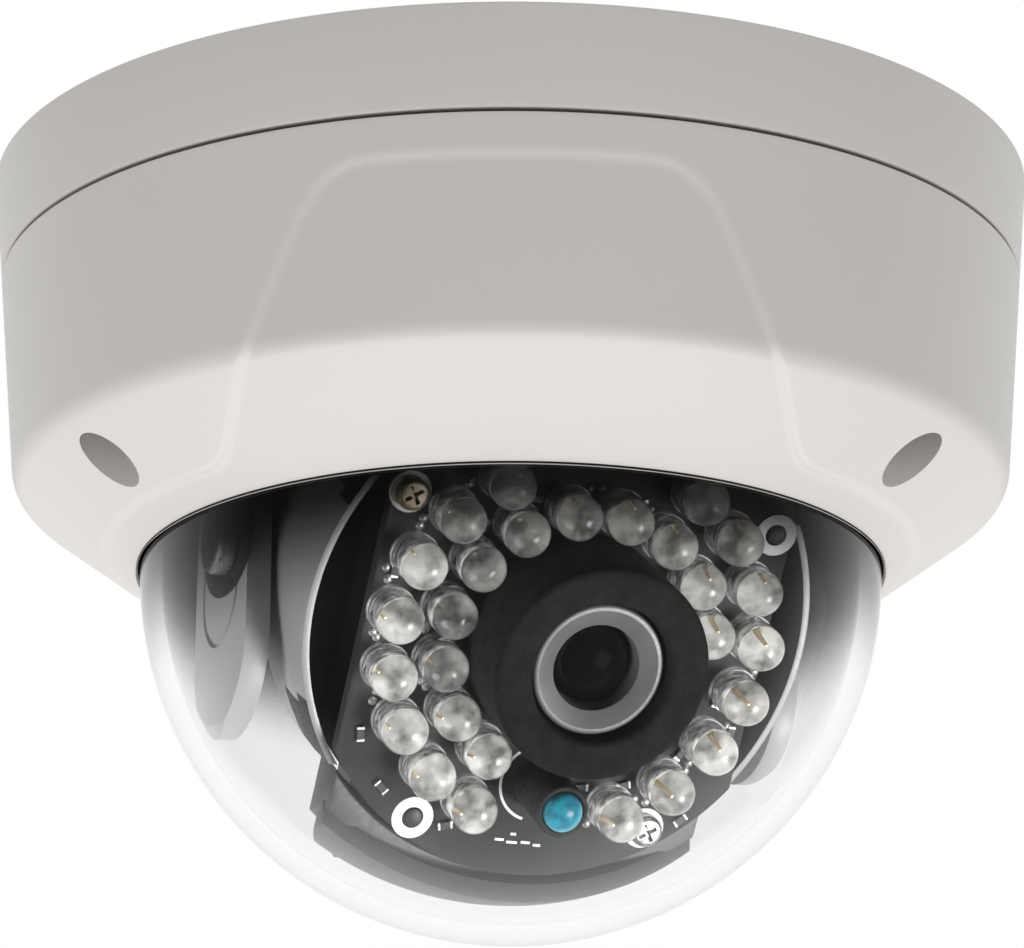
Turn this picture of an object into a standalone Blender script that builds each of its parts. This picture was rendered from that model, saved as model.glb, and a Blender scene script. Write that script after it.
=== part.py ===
# Ceiling dome camera: a cast base and cover, a clear dome, and a lens head with
# infrared lights that pans, tilts and rolls inside it. Metres, +Z up. The origin is the
# middle of the face that lies against the ceiling, and the front of the camera is -Y.

import math

import bmesh
import bpy
from mathutils import Matrix, Vector

# Clearances
SEAT_GAP = 0.0003            # between two pieces that touch
SLIP_GAP = 0.0004            # round a piece that slides or turns in another

# Body: the outer wall tapers to a shoulder, then a cone runs in to the dome opening.
# The radii build up from that opening: dome flange, screw bosses, tongue, then base wall
OPENING_RADIUS = 0.0403
OPENING_DEPTH = 0.0433
SHOULDER_DEPTH = 0.0339      # where wall and cone would meet without the rounding
SHOULDER_ROUND = 0.0050
WALL_DRAFT = math.radians(4.3)
RIM_CLEARANCE = 0.00097      # between the dome's flange and the screw bosses

# Base
PLATE_THICKNESS = 0.0030
BASE_DEPTH = 0.0110
BASE_WALL = 0.0029
SEAL_STEP_DEPTH = 0.0070
SEAL_THICKNESS = 0.0010
SEAL_INSET = 0.0010          # seal's bore, outside the tongue's bore
SPIGOT_RADIUS = 0.0200
SPIGOT_WALL = 0.0030
SPIGOT_DEPTH = 0.0160
CEILING_HOLE_RADIUS = 0.0024
CEILING_HOLE_MARGIN = 0.0022 # from the hole's edge to the base's inner wall
CABLE_HOLE_RADIUS = 0.0065
CABLE_HOLE_INSET = 0.0156    # from the hole's middle to the base's inner wall
CABLE_BORE_RADIUS = 0.0033
GROMMET_LIP = 0.0018
SIDE_OUTLET_WIDTH = 0.0100
SIDE_OUTLET_DEPTH = 0.0062
SIDE_OUTLET_ANGLE = math.radians(45.0)

# Main circuit board
MAIN_BOARD_INNER = 0.0222
MAIN_BOARD_OUTER = 0.0400
MAIN_BOARD_THICKNESS = 0.0016
MAIN_BOARD_STANDOFF = 0.0022
STANDOFF_RADIUS = 0.0026
STANDOFF_CIRCLE = 0.0360
STANDOFF_ANGLES = (-90.0, 10.0, 170.0)
BOARD_NOTCH_WIDTH = 0.0220
BOARD_PART_CIRCLE = 0.0310
CARD_SLOT_SIZE = (0.0120, 0.0140, 0.0018)
PROCESSOR_SIZE = (0.0120, 0.0120, 0.0012)
PLUG_SOCKET_SIZE = (0.0120, 0.0080, 0.0030)

# Cover
SEAM_GAP = 0.0004
COVER_WALL = 0.0022
TONGUE_WALL = 0.0024
TONGUE_FOOT = 0.0030
LEDGE_WIDTH = 0.0027
RECESS_DEPTH = 0.0005
RECESS_OVERCUT = 0.0010      # how far the recess cutter stands outside the cover
APRON_TOP_DEPTH = 0.0158
APRON_TOP_HALF_WIDTH = 0.0193
APRON_FOOT_HALF_WIDTH = 0.0287
APRON_CORNER = 0.0050
APRON_FLARE = 0.0045
RIM_BAND_WIDTH = 0.0027

# Cover screws
SCREW_INSET = 0.0014         # screw circle, inside the cover's tongue
SCREW_ANGLES = (-150.0, -30.0, 90.0)
WELL_RADIUS = 0.0031
WELL_DEPTH = 0.0100
BOSS_WALL = 0.0015
SCREW_SHANK_RADIUS = 0.0019
SCREW_HEAD_HEIGHT = 0.0030
SCREW_HOLE_END = 0.0015
SOCKET_SIDES = 6

# Dome and what clamps it
DOME_GAP = 0.0010
DOME_WALL = 0.0023
DOME_RISE = 0.0002           # dome centre above the lower edge of the opening
DOME_FLANGE_WIDTH = 0.0027
DOME_FLANGE_THICKNESS = 0.0018
GASKET_THICKNESS = 0.0010
CLAMP_THICKNESS = 0.0020
CLAMP_INSET = 0.0012         # clamp's bore, outside the dome's inner wall
LUG_ANGLES = (-90.0, 30.0, 150.0)
LUG_RADIUS = 0.0031
LUG_BOSS_RADIUS = 0.0022
LUG_SCREW_RADIUS = 0.0018
LUG_SCREW_HEIGHT = 0.0014

# Rest pose of the head, as in the reference view
PAN_ANGLE = math.radians(21.75)
TILT_ANGLE = math.radians(34.9)   # lens axis below the horizontal

# Pan bracket
BRACKET_MARGIN = 0.0015      # disc's edge, outside the ribs of the arms
BRACKET_THICKNESS = 0.0025
YOKE_CLEARANCE = 0.0037      # between the pivot screws and the dome
ARM_THICKNESS = 0.0025
ARM_WIDTH = 0.0180
ARM_OFFSET = 0.0035          # middle of the arm, behind the tilt axis
ARM_RIB_REACH = 0.0030
ARM_RIB_DROP = 0.0080
ARM_RIB_THICKNESS = 0.0020
PIVOT_SHANK_RADIUS = 0.0016
PIVOT_HEAD_RADIUS = 0.0034
PIVOT_HEAD_HEIGHT = 0.0020
PAN_CLAMP_OVERLAP = 0.0040
PAN_CLAMP_THICKNESS = 0.0020
PAN_CLAMP_BORE = 0.0140
PAN_SCREW_RADIUS = 0.0016
PAN_SCREW_HEIGHT = 0.0010
LOCK_SCREW_GAP = 0.0022      # between its head and the clamp ring
LOCK_SCREW_SHANK = 0.0014
LOCK_SCREW_HEAD = 0.0028
LOCK_SCREW_HEIGHT = 0.0020
SLOT_WIDTH = 0.0008
SLOT_DEPTH = 0.0009

# Tilt frame and chin liner, in the head's own axes: X along the tilt axis,
# Y towards the top of the picture, Z along the lens axis
FRAME_WALL = 0.0020
FRAME_FRONT = 0.0110
FRAME_HALF_HEIGHT = 0.0170
FRAME_SIDE_HALF_HEIGHT = 0.0115
FRAME_TAIL = 0.0065
FRAME_TAIL_HALF_HEIGHT = 0.0070
PIVOT_BOSS_RADIUS = 0.0045
PIVOT_BOSS_LENGTH = 0.0030
LINER_CLEARANCE = 0.0020     # to the inside of the dome
LINER_WALL = 0.0018
LINER_HALF_WIDTH = 0.0200
LINER_START = math.radians(57.0)
LINER_SWEEP = math.radians(68.0)
LINER_TAPER_START = 0.0085   # height along the lens axis below which the chin narrows
LINER_TAIL_HALF_WIDTH = 0.0058
LINER_TAB_WIDTH = 0.0047
LINER_TAB_OFFSET = 0.0150
LINER_TAB_REACH = 0.0090     # from the lens axis to the tab's end behind the frame's plate

# Roll carrier
HUB_RADIUS = 0.0127
HUB_BORE = 0.0089
HUB_TAIL = 0.0060
SNAP_GROOVE_DEPTH = 0.0007
SNAP_RING_THICKNESS = 0.0024
SNAP_RING_RADIUS = 0.0160
SNAP_RING_OPENING = 0.0080
CARRIER_THICKNESS = 0.0020
POST_RADIUS = 0.0019
POST_HEIGHT = 0.0037
PIN_RADIUS = 0.0014
PIN_PROUD = 0.0006
POST_PLACES = ((0.0200, 0.0133), (-0.0200, 0.0133), (-0.0122, -0.0210), (0.0122, -0.0210))

# Light board
LED_BOARD_RADIUS = 0.0263
LED_BOARD_FLAT = 0.0218
LED_BOARD_THICKNESS = 0.0016
BOARD_SCREW_HEAD = 0.0017
BOARD_SCREW_HEIGHT = 0.0012
BOARD_SCREW_SHANK = 0.0010
LED_RADIUS = 0.0024
LED_FLANGE_RADIUS = 0.00255
LED_FLANGE_HEIGHT = 0.0008
LED_HEIGHT = 0.0062
INNER_LED_CIRCLE = 0.0142
INNER_LED_RUNS = ((12.0, 11),)
INNER_LED_PITCH = 22.8
OUTER_LED_CIRCLE = 0.0196
OUTER_LED_RUNS = ((296.0, 8), (124.0, 8))
OUTER_LED_PITCH = 17.7
SHIELD_RADIUS = 0.0113
SHIELD_BORE = 0.0073
SHIELD_HEIGHT = 0.0113
SHIELD_ROUND = 0.0006
SENSOR_PLACE = (0.0017, -0.0169)
SENSOR_TUBE_RADIUS = 0.0027
SENSOR_TUBE_HEIGHT = 0.0068
SENSOR_WINDOW_RADIUS = 0.0015
SENSOR_WINDOW_PROUD = 0.0012

# Lens and image sensor
SENSOR_BOARD_SIDE = 0.0220
SENSOR_BOARD_THICKNESS = 0.0016
SENSOR_BOARD_BACK = 0.0060
SENSOR_CHIP_SIDE = 0.0080
SENSOR_CHIP_HEIGHT = 0.0010
LENS_MOUNT_FLANGE = 0.0200
LENS_MOUNT_FOOT = 0.0016
LENS_MOUNT_FRONT = 0.0120
LENS_THREAD_RADIUS = 0.0060
LENS_REAR = 0.0005
LENS_BARREL_FRONT = 0.0200
LENS_BARREL_BORE = 0.0035
LOCK_RING_RADIUS = 0.0080
LOCK_RING_THICKNESS = 0.0020
LENS_RIM_RADIUS = 0.0069
LENS_RIM_FRONT = 0.0290
LENS_MOUTH_RADIUS = 0.0062
LENS_MOUTH_DEPTH = 0.0032
GLASS_RADIUS = 0.0041
GLASS_THICKNESS = 0.0030
GLASS_CROWN = 0.0016

# Facets round a full turn
BODY_STEPS = 44
RING_STEPS = 24
SMALL_STEPS = 12
PIN_STEPS = 10
LED_STEPS = 8
LINER_STEPS = 9
ARC_STEPS = 3
CROWN_STEPS = 2
DOME_ARC_STEPS = 7

# Heights and radii that follow from the sizes above
DOME_RADIUS = OPENING_RADIUS - DOME_GAP
DOME_INNER = DOME_RADIUS - DOME_WALL
DOME_CENTRE = -OPENING_DEPTH + DOME_RISE
FLANGE_RADIUS = DOME_RADIUS + DOME_FLANGE_WIDTH
BOSS_RADIUS = WELL_RADIUS + BOSS_WALL
SCREW_CIRCLE = FLANGE_RADIUS + RIM_CLEARANCE + BOSS_RADIUS
SCREW_HOLE_RADIUS = SCREW_SHANK_RADIUS + SLIP_GAP
LUG_CIRCLE = FLANGE_RADIUS + LUG_BOSS_RADIUS + SLIP_GAP
TONGUE_INNER = SCREW_CIRCLE + SCREW_INSET
TONGUE_OUTER = TONGUE_INNER + TONGUE_WALL
TONGUE_TOP = -SEAL_STEP_DEPTH - SEAL_THICKNESS - 2 * SEAT_GAP
SKIRT_INNER = TONGUE_OUTER + SLIP_GAP
SKIRT_RADIUS = SKIRT_INNER + BASE_WALL
STEP_INNER = TONGUE_INNER - SLIP_GAP
BODY_RADIUS = SKIRT_RADIUS + BASE_DEPTH * math.tan(WALL_DRAFT)
SHOULDER_RADIUS = BODY_RADIUS - SHOULDER_DEPTH * math.tan(WALL_DRAFT)
CONE_SLOPE = (OPENING_DEPTH - SHOULDER_DEPTH) / (SHOULDER_RADIUS - OPENING_RADIUS)
COVER_TOP = -BASE_DEPTH - SEAM_GAP
LEDGE_RADIUS = OPENING_RADIUS + LEDGE_WIDTH
WELL_TOP = -SHOULDER_DEPTH - (SHOULDER_RADIUS - SCREW_CIRCLE) * CONE_SLOPE + WELL_DEPTH
CEILING_HOLE_CIRCLE = STEP_INNER - CEILING_HOLE_MARGIN - CEILING_HOLE_RADIUS
CABLE_HOLE_OFFSET = STEP_INNER - CABLE_HOLE_INSET
ARM_OUTER = DOME_INNER - YOKE_CLEARANCE - PIVOT_HEAD_HEIGHT - SEAT_GAP
ARM_INNER = ARM_OUTER - ARM_THICKNESS
BRACKET_RADIUS = ARM_OUTER + ARM_RIB_REACH + BRACKET_MARGIN
PAN_CLAMP_RADIUS = SPIGOT_RADIUS + PAN_CLAMP_OVERLAP
LOCK_SCREW_OFFSET = PAN_CLAMP_RADIUS + LOCK_SCREW_GAP + LOCK_SCREW_HEAD
PIVOT_HOLE_RADIUS = PIVOT_SHANK_RADIUS + SLIP_GAP
FRAME_OUTER = ARM_INNER - SEAT_GAP - PIVOT_BOSS_LENGTH
FRAME_INNER = FRAME_OUTER - FRAME_WALL
FRAME_BACK = FRAME_FRONT - FRAME_WALL
LINER_RADIUS = DOME_INNER - LINER_CLEARANCE
CARRIER_BACK = FRAME_FRONT + SEAT_GAP
CARRIER_FRONT = CARRIER_BACK + CARRIER_THICKNESS
LED_BOARD_BACK = CARRIER_FRONT + POST_HEIGHT + SEAT_GAP
LED_BOARD_FRONT = LED_BOARD_BACK + LED_BOARD_THICKNESS
SEAT_ON_BOARD = LED_BOARD_FRONT + SEAT_GAP
SENSOR_BOARD_FRONT = -SENSOR_BOARD_BACK + SENSOR_BOARD_THICKNESS
LENS_MOUNT_BORE = LENS_THREAD_RADIUS + SEAT_GAP
GLASS_BORE = GLASS_RADIUS + SEAT_GAP

FINISHES = {
    "white_paint": ((0.78, 0.76, 0.74), 0.45, 0.0),
    "clear_plastic": ((0.95, 0.96, 0.96), 0.05, 0.0),
    "black_rubber": ((0.02, 0.02, 0.02), 0.80, 0.0),
    "black_plastic": ((0.03, 0.03, 0.03), 0.50, 0.0),
    "dark_board": ((0.05, 0.05, 0.05), 0.55, 0.0),
    "green_board": ((0.02, 0.12, 0.05), 0.50, 0.0),
    "steel": ((0.62, 0.61, 0.60), 0.30, 1.0),
    "clear_led": ((0.90, 0.91, 0.93), 0.08, 0.0),
    "grey_metal": ((0.40, 0.40, 0.41), 0.40, 0.8),
    "lens_glass": ((0.02, 0.02, 0.03), 0.03, 0.0),
    "blue_resin": ((0.10, 0.22, 0.65), 0.15, 0.0),
    "black_foam": ((0.02, 0.02, 0.02), 0.90, 0.0),
}

for old in list(bpy.data.objects):
    bpy.data.objects.remove(old, do_unlink=True)

parts = bpy.data.collections.new("dome_camera")
tools = bpy.data.collections.new("cutters")
bpy.context.scene.collection.children.link(parts)
bpy.context.scene.collection.children.link(tools)


def finish(name):
    material = bpy.data.materials.get(name)
    if material is None:
        colour, roughness, metallic = FINISHES[name]
        material = bpy.data.materials.new(name)
        material.use_nodes = True
        shader = material.node_tree.nodes["Principled BSDF"]
        shader.inputs["Base Color"].default_value = (*colour, 1.0)
        shader.inputs["Roughness"].default_value = roughness
        shader.inputs["Metallic"].default_value = metallic
        if name.startswith("clear"):
            shader.inputs["Transmission Weight"].default_value = 0.9
    return material


def joint_empty(name, location, rotation, parent=None):
    empty = bpy.data.objects.new(name, None)
    empty.empty_display_size = ARM_WIDTH
    empty.location = location
    empty.rotation_euler = rotation
    empty.parent = parent
    parts.objects.link(empty)
    return empty


def add_object(name, mesh, look, parent):
    # With a look the object is a part, and without one it is a shaping tool
    obj = bpy.data.objects.new(name, mesh)
    obj.parent = parent
    if look is None:
        tools.objects.link(obj)
        obj.hide_render = True
        obj.display_type = "WIRE"
    else:
        parts.objects.link(obj)
        if not mesh.materials:
            mesh.materials.append(finish(look))
    return obj


def smooth(mesh):
    mesh.shade_smooth()
    mesh.set_sharp_from_angle(angle=math.radians(35.0))


def turned(name, profile, look=None, parent=None, steps=RING_STEPS, closed=True):
    # profile runs down its outer side; it is left open where both ends lie on the axis
    mesh = bpy.data.meshes.new(name)
    points = [(radius, 0.0, height) for radius, height in profile]
    edges = [(i, i + 1) for i in range(len(points) - 1)]
    if closed:
        edges.append((len(points) - 1, 0))
    mesh.from_pydata(points, edges, [])
    obj = add_object(name, mesh, look, parent)
    screw = obj.modifiers.new("turn", "SCREW")
    screw.axis = "Z"
    screw.steps = steps
    screw.render_steps = steps
    screw.use_merge_vertices = True
    screw.merge_threshold = 0.00001
    return obj


def ring(name, inner, outer, low, high, look=None, parent=None, steps=RING_STEPS):
    profile = [(inner, high), (outer, high), (outer, low), (inner, low)]
    return turned(name, profile, look, parent, steps)


def rod(name, radius, low, high, look=None, parent=None, at=(0.0, 0.0), along="Z",
        steps=SMALL_STEPS):
    # A solid cylinder along Z, or along X from low to high
    mesh = bpy.data.meshes.new(name)
    shape = bmesh.new()
    bmesh.ops.create_cone(shape, cap_ends=True, segments=steps, radius1=radius,
                          radius2=radius, depth=high - low)
    bmesh.ops.translate(shape, verts=shape.verts, vec=(0.0, 0.0, (low + high) / 2))
    if along == "X":
        turn = Matrix.Rotation(math.radians(90.0), 3, "Y")
        bmesh.ops.rotate(shape, verts=shape.verts, matrix=turn)
        bmesh.ops.translate(shape, verts=shape.verts, vec=(0.0, at[0], at[1]))
    else:
        bmesh.ops.translate(shape, verts=shape.verts, vec=(at[0], at[1], 0.0))
    shape.to_mesh(mesh)
    shape.free()
    smooth(mesh)
    return add_object(name, mesh, look, parent)


def block(name, low, high, look=None, parent=None):
    mesh = bpy.data.meshes.new(name)
    shape = bmesh.new()
    bmesh.ops.create_cube(shape, size=1.0)
    low = Vector(low)
    high = Vector(high)
    bmesh.ops.scale(shape, verts=shape.verts, vec=high - low)
    bmesh.ops.translate(shape, verts=shape.verts, vec=(low + high) / 2)
    shape.to_mesh(mesh)
    shape.free()
    return add_object(name, mesh, look, parent)


def slab(name, outline, to_point, thickness, look=None, parent=None):
    # A flat outline of (u, v) points, set in space by to_point and thickened both ways
    mesh = bpy.data.meshes.new(name)
    points = [to_point(u, v) for u, v in outline]
    mesh.from_pydata(points, [], [tuple(range(len(points)))])
    obj = add_object(name, mesh, look, parent)
    solid = obj.modifiers.new("thickness", "SOLIDIFY")
    solid.thickness = thickness
    solid.offset = 0.0
    return obj


def shape_with(target, tool, operation):
    boolean = target.modifiers.new(operation.lower() + "_" + tool.name, "BOOLEAN")
    boolean.operation = operation
    boolean.object = tool
    boolean.solver = "EXACT"
    boolean.use_hole_tolerant = True


def cut(target, *cutters):
    for cutter in cutters:
        shape_with(target, cutter, "DIFFERENCE")


def fuse(target, *additions):
    for addition in additions:
        shape_with(target, addition, "UNION")


def keep_inside(target, limit):
    shape_with(target, limit, "INTERSECT")


def clean_edges(target):
    # Closes the hair-thin edges that joining and cutting leave
    weld = target.modifiers.new("weld", "WELD")
    weld.merge_threshold = 0.00002


def polar(radius, degrees):
    angle = math.radians(degrees)
    return (radius * math.cos(angle), radius * math.sin(angle))


def rounded_corner(before, corner, after, radius, steps=ARC_STEPS):
    # Points of an arc that touches both sides of a corner
    corner = Vector(corner)
    first = (Vector(before) - corner).normalized()
    second = (Vector(after) - corner).normalized()
    half = first.angle(second) / 2
    centre = corner + (first + second).normalized() * (radius / math.sin(half))
    start = corner + first * (radius / math.tan(half)) - centre
    end = corner + second * (radius / math.tan(half)) - centre
    turn = start.angle(end)
    points = []
    for step in range(steps + 1):
        share = step / steps
        spoke = (start * math.sin((1 - share) * turn) + end * math.sin(share * turn)) / math.sin(turn)
        points.append(tuple(centre + spoke))
    return points


def crown(radius, rise, base, steps=CROWN_STEPS):
    # Points of a rounded top, from the axis out to its edge
    points = [(0.0, base + rise)]
    for step in range(1, steps + 1):
        across, up = polar(1.0, 90.0 * (1 - step / steps))
        points.append((radius * across, base + rise * up))
    return points


def skin(inset, top, end_radius):
    # The body's outer line from height top to radius end_radius, moved inwards by inset
    shoulder = Vector((SHOULDER_RADIUS, -SHOULDER_DEPTH))
    wall = (Vector((BODY_RADIUS, 0.0)) - shoulder).normalized()
    cone = (Vector((OPENING_RADIUS, -OPENING_DEPTH)) - shoulder).normalized()
    half = wall.angle(cone) / 2
    corner = shoulder + (wall + cone).normalized() * (inset / math.sin(half))
    start = corner + wall * ((top - corner.y) / wall.y)
    end = corner + cone * ((end_radius - corner.x) / cone.x)
    bend = rounded_corner(start, corner, end, SHOULDER_ROUND - inset)
    return [tuple(start)] + bend + [tuple(end)]


LEDGE_HEIGHT = skin(COVER_WALL, COVER_TOP, LEDGE_RADIUS)[-1][1]
GASKET_LOW = LEDGE_HEIGHT + SEAT_GAP
GASKET_HIGH = GASKET_LOW + GASKET_THICKNESS
FLANGE_LOW = GASKET_HIGH + SEAT_GAP
FLANGE_HIGH = FLANGE_LOW + DOME_FLANGE_THICKNESS
CLAMP_LOW = FLANGE_HIGH + SEAT_GAP
CLAMP_HIGH = CLAMP_LOW + CLAMP_THICKNESS

pan_axis = joint_empty("pan_axis", (0.0, 0.0, 0.0), (0.0, 0.0, PAN_ANGLE))
tilt_axis = joint_empty("tilt_axis", (0.0, 0.0, DOME_CENTRE), (math.radians(90.0) + TILT_ANGLE, 0.0, 0.0),
                        pan_axis)
roll_axis = joint_empty("roll_axis", (0.0, 0.0, 0.0), (0.0, 0.0, 0.0), tilt_axis)


# Base

def make_mounting_base():
    profile = [
        (0.0, 0.0),
        (BODY_RADIUS, 0.0),
        (SKIRT_RADIUS, -BASE_DEPTH),
        (SKIRT_INNER, -BASE_DEPTH),
        (SKIRT_INNER, -SEAL_STEP_DEPTH),
        (STEP_INNER, -SEAL_STEP_DEPTH),
        (STEP_INNER, -PLATE_THICKNESS),
        (SPIGOT_RADIUS, -PLATE_THICKNESS),
        (SPIGOT_RADIUS, -SPIGOT_DEPTH),
        (SPIGOT_RADIUS - SPIGOT_WALL, -SPIGOT_DEPTH),
        (SPIGOT_RADIUS - SPIGOT_WALL, -PLATE_THICKNESS),
        (0.0, -PLATE_THICKNESS),
    ]
    base = turned("mounting_base", profile, "white_paint", steps=BODY_STEPS, closed=False)
    inside_plate = -PLATE_THICKNESS / 2
    boss_end = -SEAL_STEP_DEPTH + SEAT_GAP
    for number, angle in enumerate(SCREW_ANGLES, 1):
        at = polar(SCREW_CIRCLE, angle)
        fuse(base, rod(f"base_boss_{number}", BOSS_RADIUS, boss_end, inside_plate, at=at))
        cut(base, rod(f"base_thread_{number}", SCREW_HOLE_RADIUS, -BASE_DEPTH, -SCREW_HOLE_END, at=at))
    for number, angle in enumerate(STANDOFF_ANGLES, 1):
        at = polar(STANDOFF_CIRCLE, angle)
        low = -PLATE_THICKNESS - MAIN_BOARD_STANDOFF
        fuse(base, rod(f"board_standoff_{number}", STANDOFF_RADIUS, low, inside_plate, at=at))
    for number, angle in enumerate(LUG_ANGLES, 1):
        at = polar(CEILING_HOLE_CIRCLE, angle)
        hole = rod(f"ceiling_hole_{number}", CEILING_HOLE_RADIUS, -BASE_DEPTH, BASE_DEPTH, at=at)
        cut(base, hole)
    cable_at = (0.0, CABLE_HOLE_OFFSET)
    cut(base, rod("cable_hole", CABLE_HOLE_RADIUS, -BASE_DEPTH, BASE_DEPTH, at=cable_at, steps=RING_STEPS))
    half = SIDE_OUTLET_WIDTH / 2
    outlet = block("side_outlet", (STEP_INNER - BASE_WALL, -half, -SIDE_OUTLET_DEPTH),
                   (BODY_RADIUS + BASE_WALL, half, BASE_DEPTH))
    outlet.rotation_euler.z = SIDE_OUTLET_ANGLE
    cut(base, outlet)


def make_side_outlet_plug():
    # The tongue fills the slot in the skirt and the wider tail sits behind the wall
    half = SIDE_OUTLET_WIDTH / 2 - SEAT_GAP
    tail_half = half + BASE_WALL / 2
    tail_outer = math.sqrt(STEP_INNER ** 2 - tail_half ** 2) - SEAT_GAP
    low = -SIDE_OUTLET_DEPTH + SEAT_GAP
    face = SKIRT_RADIUS - SLIP_GAP
    plug = block("side_outlet_plug", (tail_outer - BASE_WALL / 2, -half, low), (face, half, -SEAT_GAP),
                 "black_rubber")
    tail = block("plug_tail", (tail_outer - BASE_WALL, -tail_half, low),
                 (tail_outer, tail_half, -PLATE_THICKNESS - SEAT_GAP))
    plug.rotation_euler.z = SIDE_OUTLET_ANGLE
    tail.rotation_euler.z = SIDE_OUTLET_ANGLE
    fuse(plug, tail)


def make_cable_grommet():
    neck = CABLE_HOLE_RADIUS - SEAT_GAP
    lip = CABLE_HOLE_RADIUS + GROMMET_LIP
    shelf = -PLATE_THICKNESS - SEAT_GAP
    profile = [
        (CABLE_BORE_RADIUS, -SEAT_GAP),
        (neck, -SEAT_GAP),
        (neck, shelf),
        (lip, shelf),
        (lip, shelf - GROMMET_LIP),
        (CABLE_BORE_RADIUS, shelf - GROMMET_LIP),
    ]
    grommet = turned("cable_grommet", profile, "black_rubber", steps=RING_STEPS)
    grommet.location = (0.0, CABLE_HOLE_OFFSET, 0.0)


def make_base_seal_ring():
    high = -SEAL_STEP_DEPTH - SEAT_GAP
    ring("base_seal_ring", TONGUE_INNER + SEAL_INSET, TONGUE_OUTER - SEAT_GAP, high - SEAL_THICKNESS, high,
         "black_rubber", steps=BODY_STEPS)


def make_main_board():
    high = -PLATE_THICKNESS - MAIN_BOARD_STANDOFF - SEAT_GAP
    low = high - MAIN_BOARD_THICKNESS
    board = ring("main_board", MAIN_BOARD_INNER, MAIN_BOARD_OUTER, low, high, "green_board")
    notch = BOARD_NOTCH_WIDTH / 2
    cut(board, block("board_notch", (-notch, 0.0, -BODY_RADIUS), (notch, BODY_RADIUS, BODY_RADIUS)))
    inside = low + MAIN_BOARD_THICKNESS / 2
    board_parts = (
        ("card_slot", 180.0, CARD_SLOT_SIZE),
        ("processor", 0.0, PROCESSOR_SIZE),
        ("plug_socket", -90.0, PLUG_SOCKET_SIZE),
    )
    for name, angle, (length, width, height) in board_parts:
        x, y = polar(BOARD_PART_CIRCLE, angle)
        fuse(board, block(name, (x - length / 2, y - width / 2, low - height),
                          (x + length / 2, y + width / 2, inside)))


def make_pan_clamp_ring():
    high = -SPIGOT_DEPTH - SEAT_GAP
    low = high - PAN_CLAMP_THICKNESS
    clamp = ring("pan_clamp_ring", PAN_CLAMP_BORE, PAN_CLAMP_RADIUS, low, high, "black_plastic")
    inside = low + PAN_CLAMP_THICKNESS / 2
    for number, angle in enumerate(LUG_ANGLES, 1):
        at = polar(SPIGOT_RADIUS - SPIGOT_WALL / 2, angle)
        fuse(clamp, rod(f"pan_clamp_head_{number}", PAN_SCREW_RADIUS, low - PAN_SCREW_HEIGHT, inside, at=at,
                        steps=PIN_STEPS))


# Cover

def apron_cutter():
    # A shallow step in the cover's front: an apron that widens downwards and flares
    # into a band round the dome opening
    end_radius = OPENING_RADIUS - RECESS_OVERCUT
    outer = skin(-RECESS_OVERCUT, COVER_TOP, end_radius)
    inner = skin(RECESS_DEPTH, COVER_TOP, end_radius)
    step = turned("apron_step", outer + inner[::-1], steps=BODY_STEPS)
    band_radius = OPENING_RADIUS + RIM_BAND_WIDTH
    band_height = -SHOULDER_DEPTH - (SHOULDER_RADIUS - band_radius) * CONE_SLOPE
    top = -APRON_TOP_DEPTH
    top_corner = (APRON_TOP_HALF_WIDTH, top)
    foot = band_height - RECESS_DEPTH
    foot_corner = (APRON_FOOT_HALF_WIDTH, foot)
    flare_end = (band_radius, foot)
    half = rounded_corner((0.0, top), top_corner, foot_corner, APRON_CORNER)
    half += rounded_corner(top_corner, foot_corner, flare_end, APRON_FLARE)
    half += [flare_end, (band_radius, foot - BODY_RADIUS)]
    outline = half + [(-x, z) for x, z in half[::-1]]
    reach = BODY_RADIUS
    area = slab("apron_area", outline, lambda x, z: (x, -reach, z), reach)
    band_top = -SHOULDER_DEPTH
    band_end = -2 * BODY_RADIUS
    band_line = [(0.0, band_top), (band_radius, band_top), (band_radius, band_end), (0.0, band_end)]
    band = turned("rim_band", band_line, steps=BODY_STEPS, closed=False)
    fuse(area, band)
    keep_inside(step, area)
    return step


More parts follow.
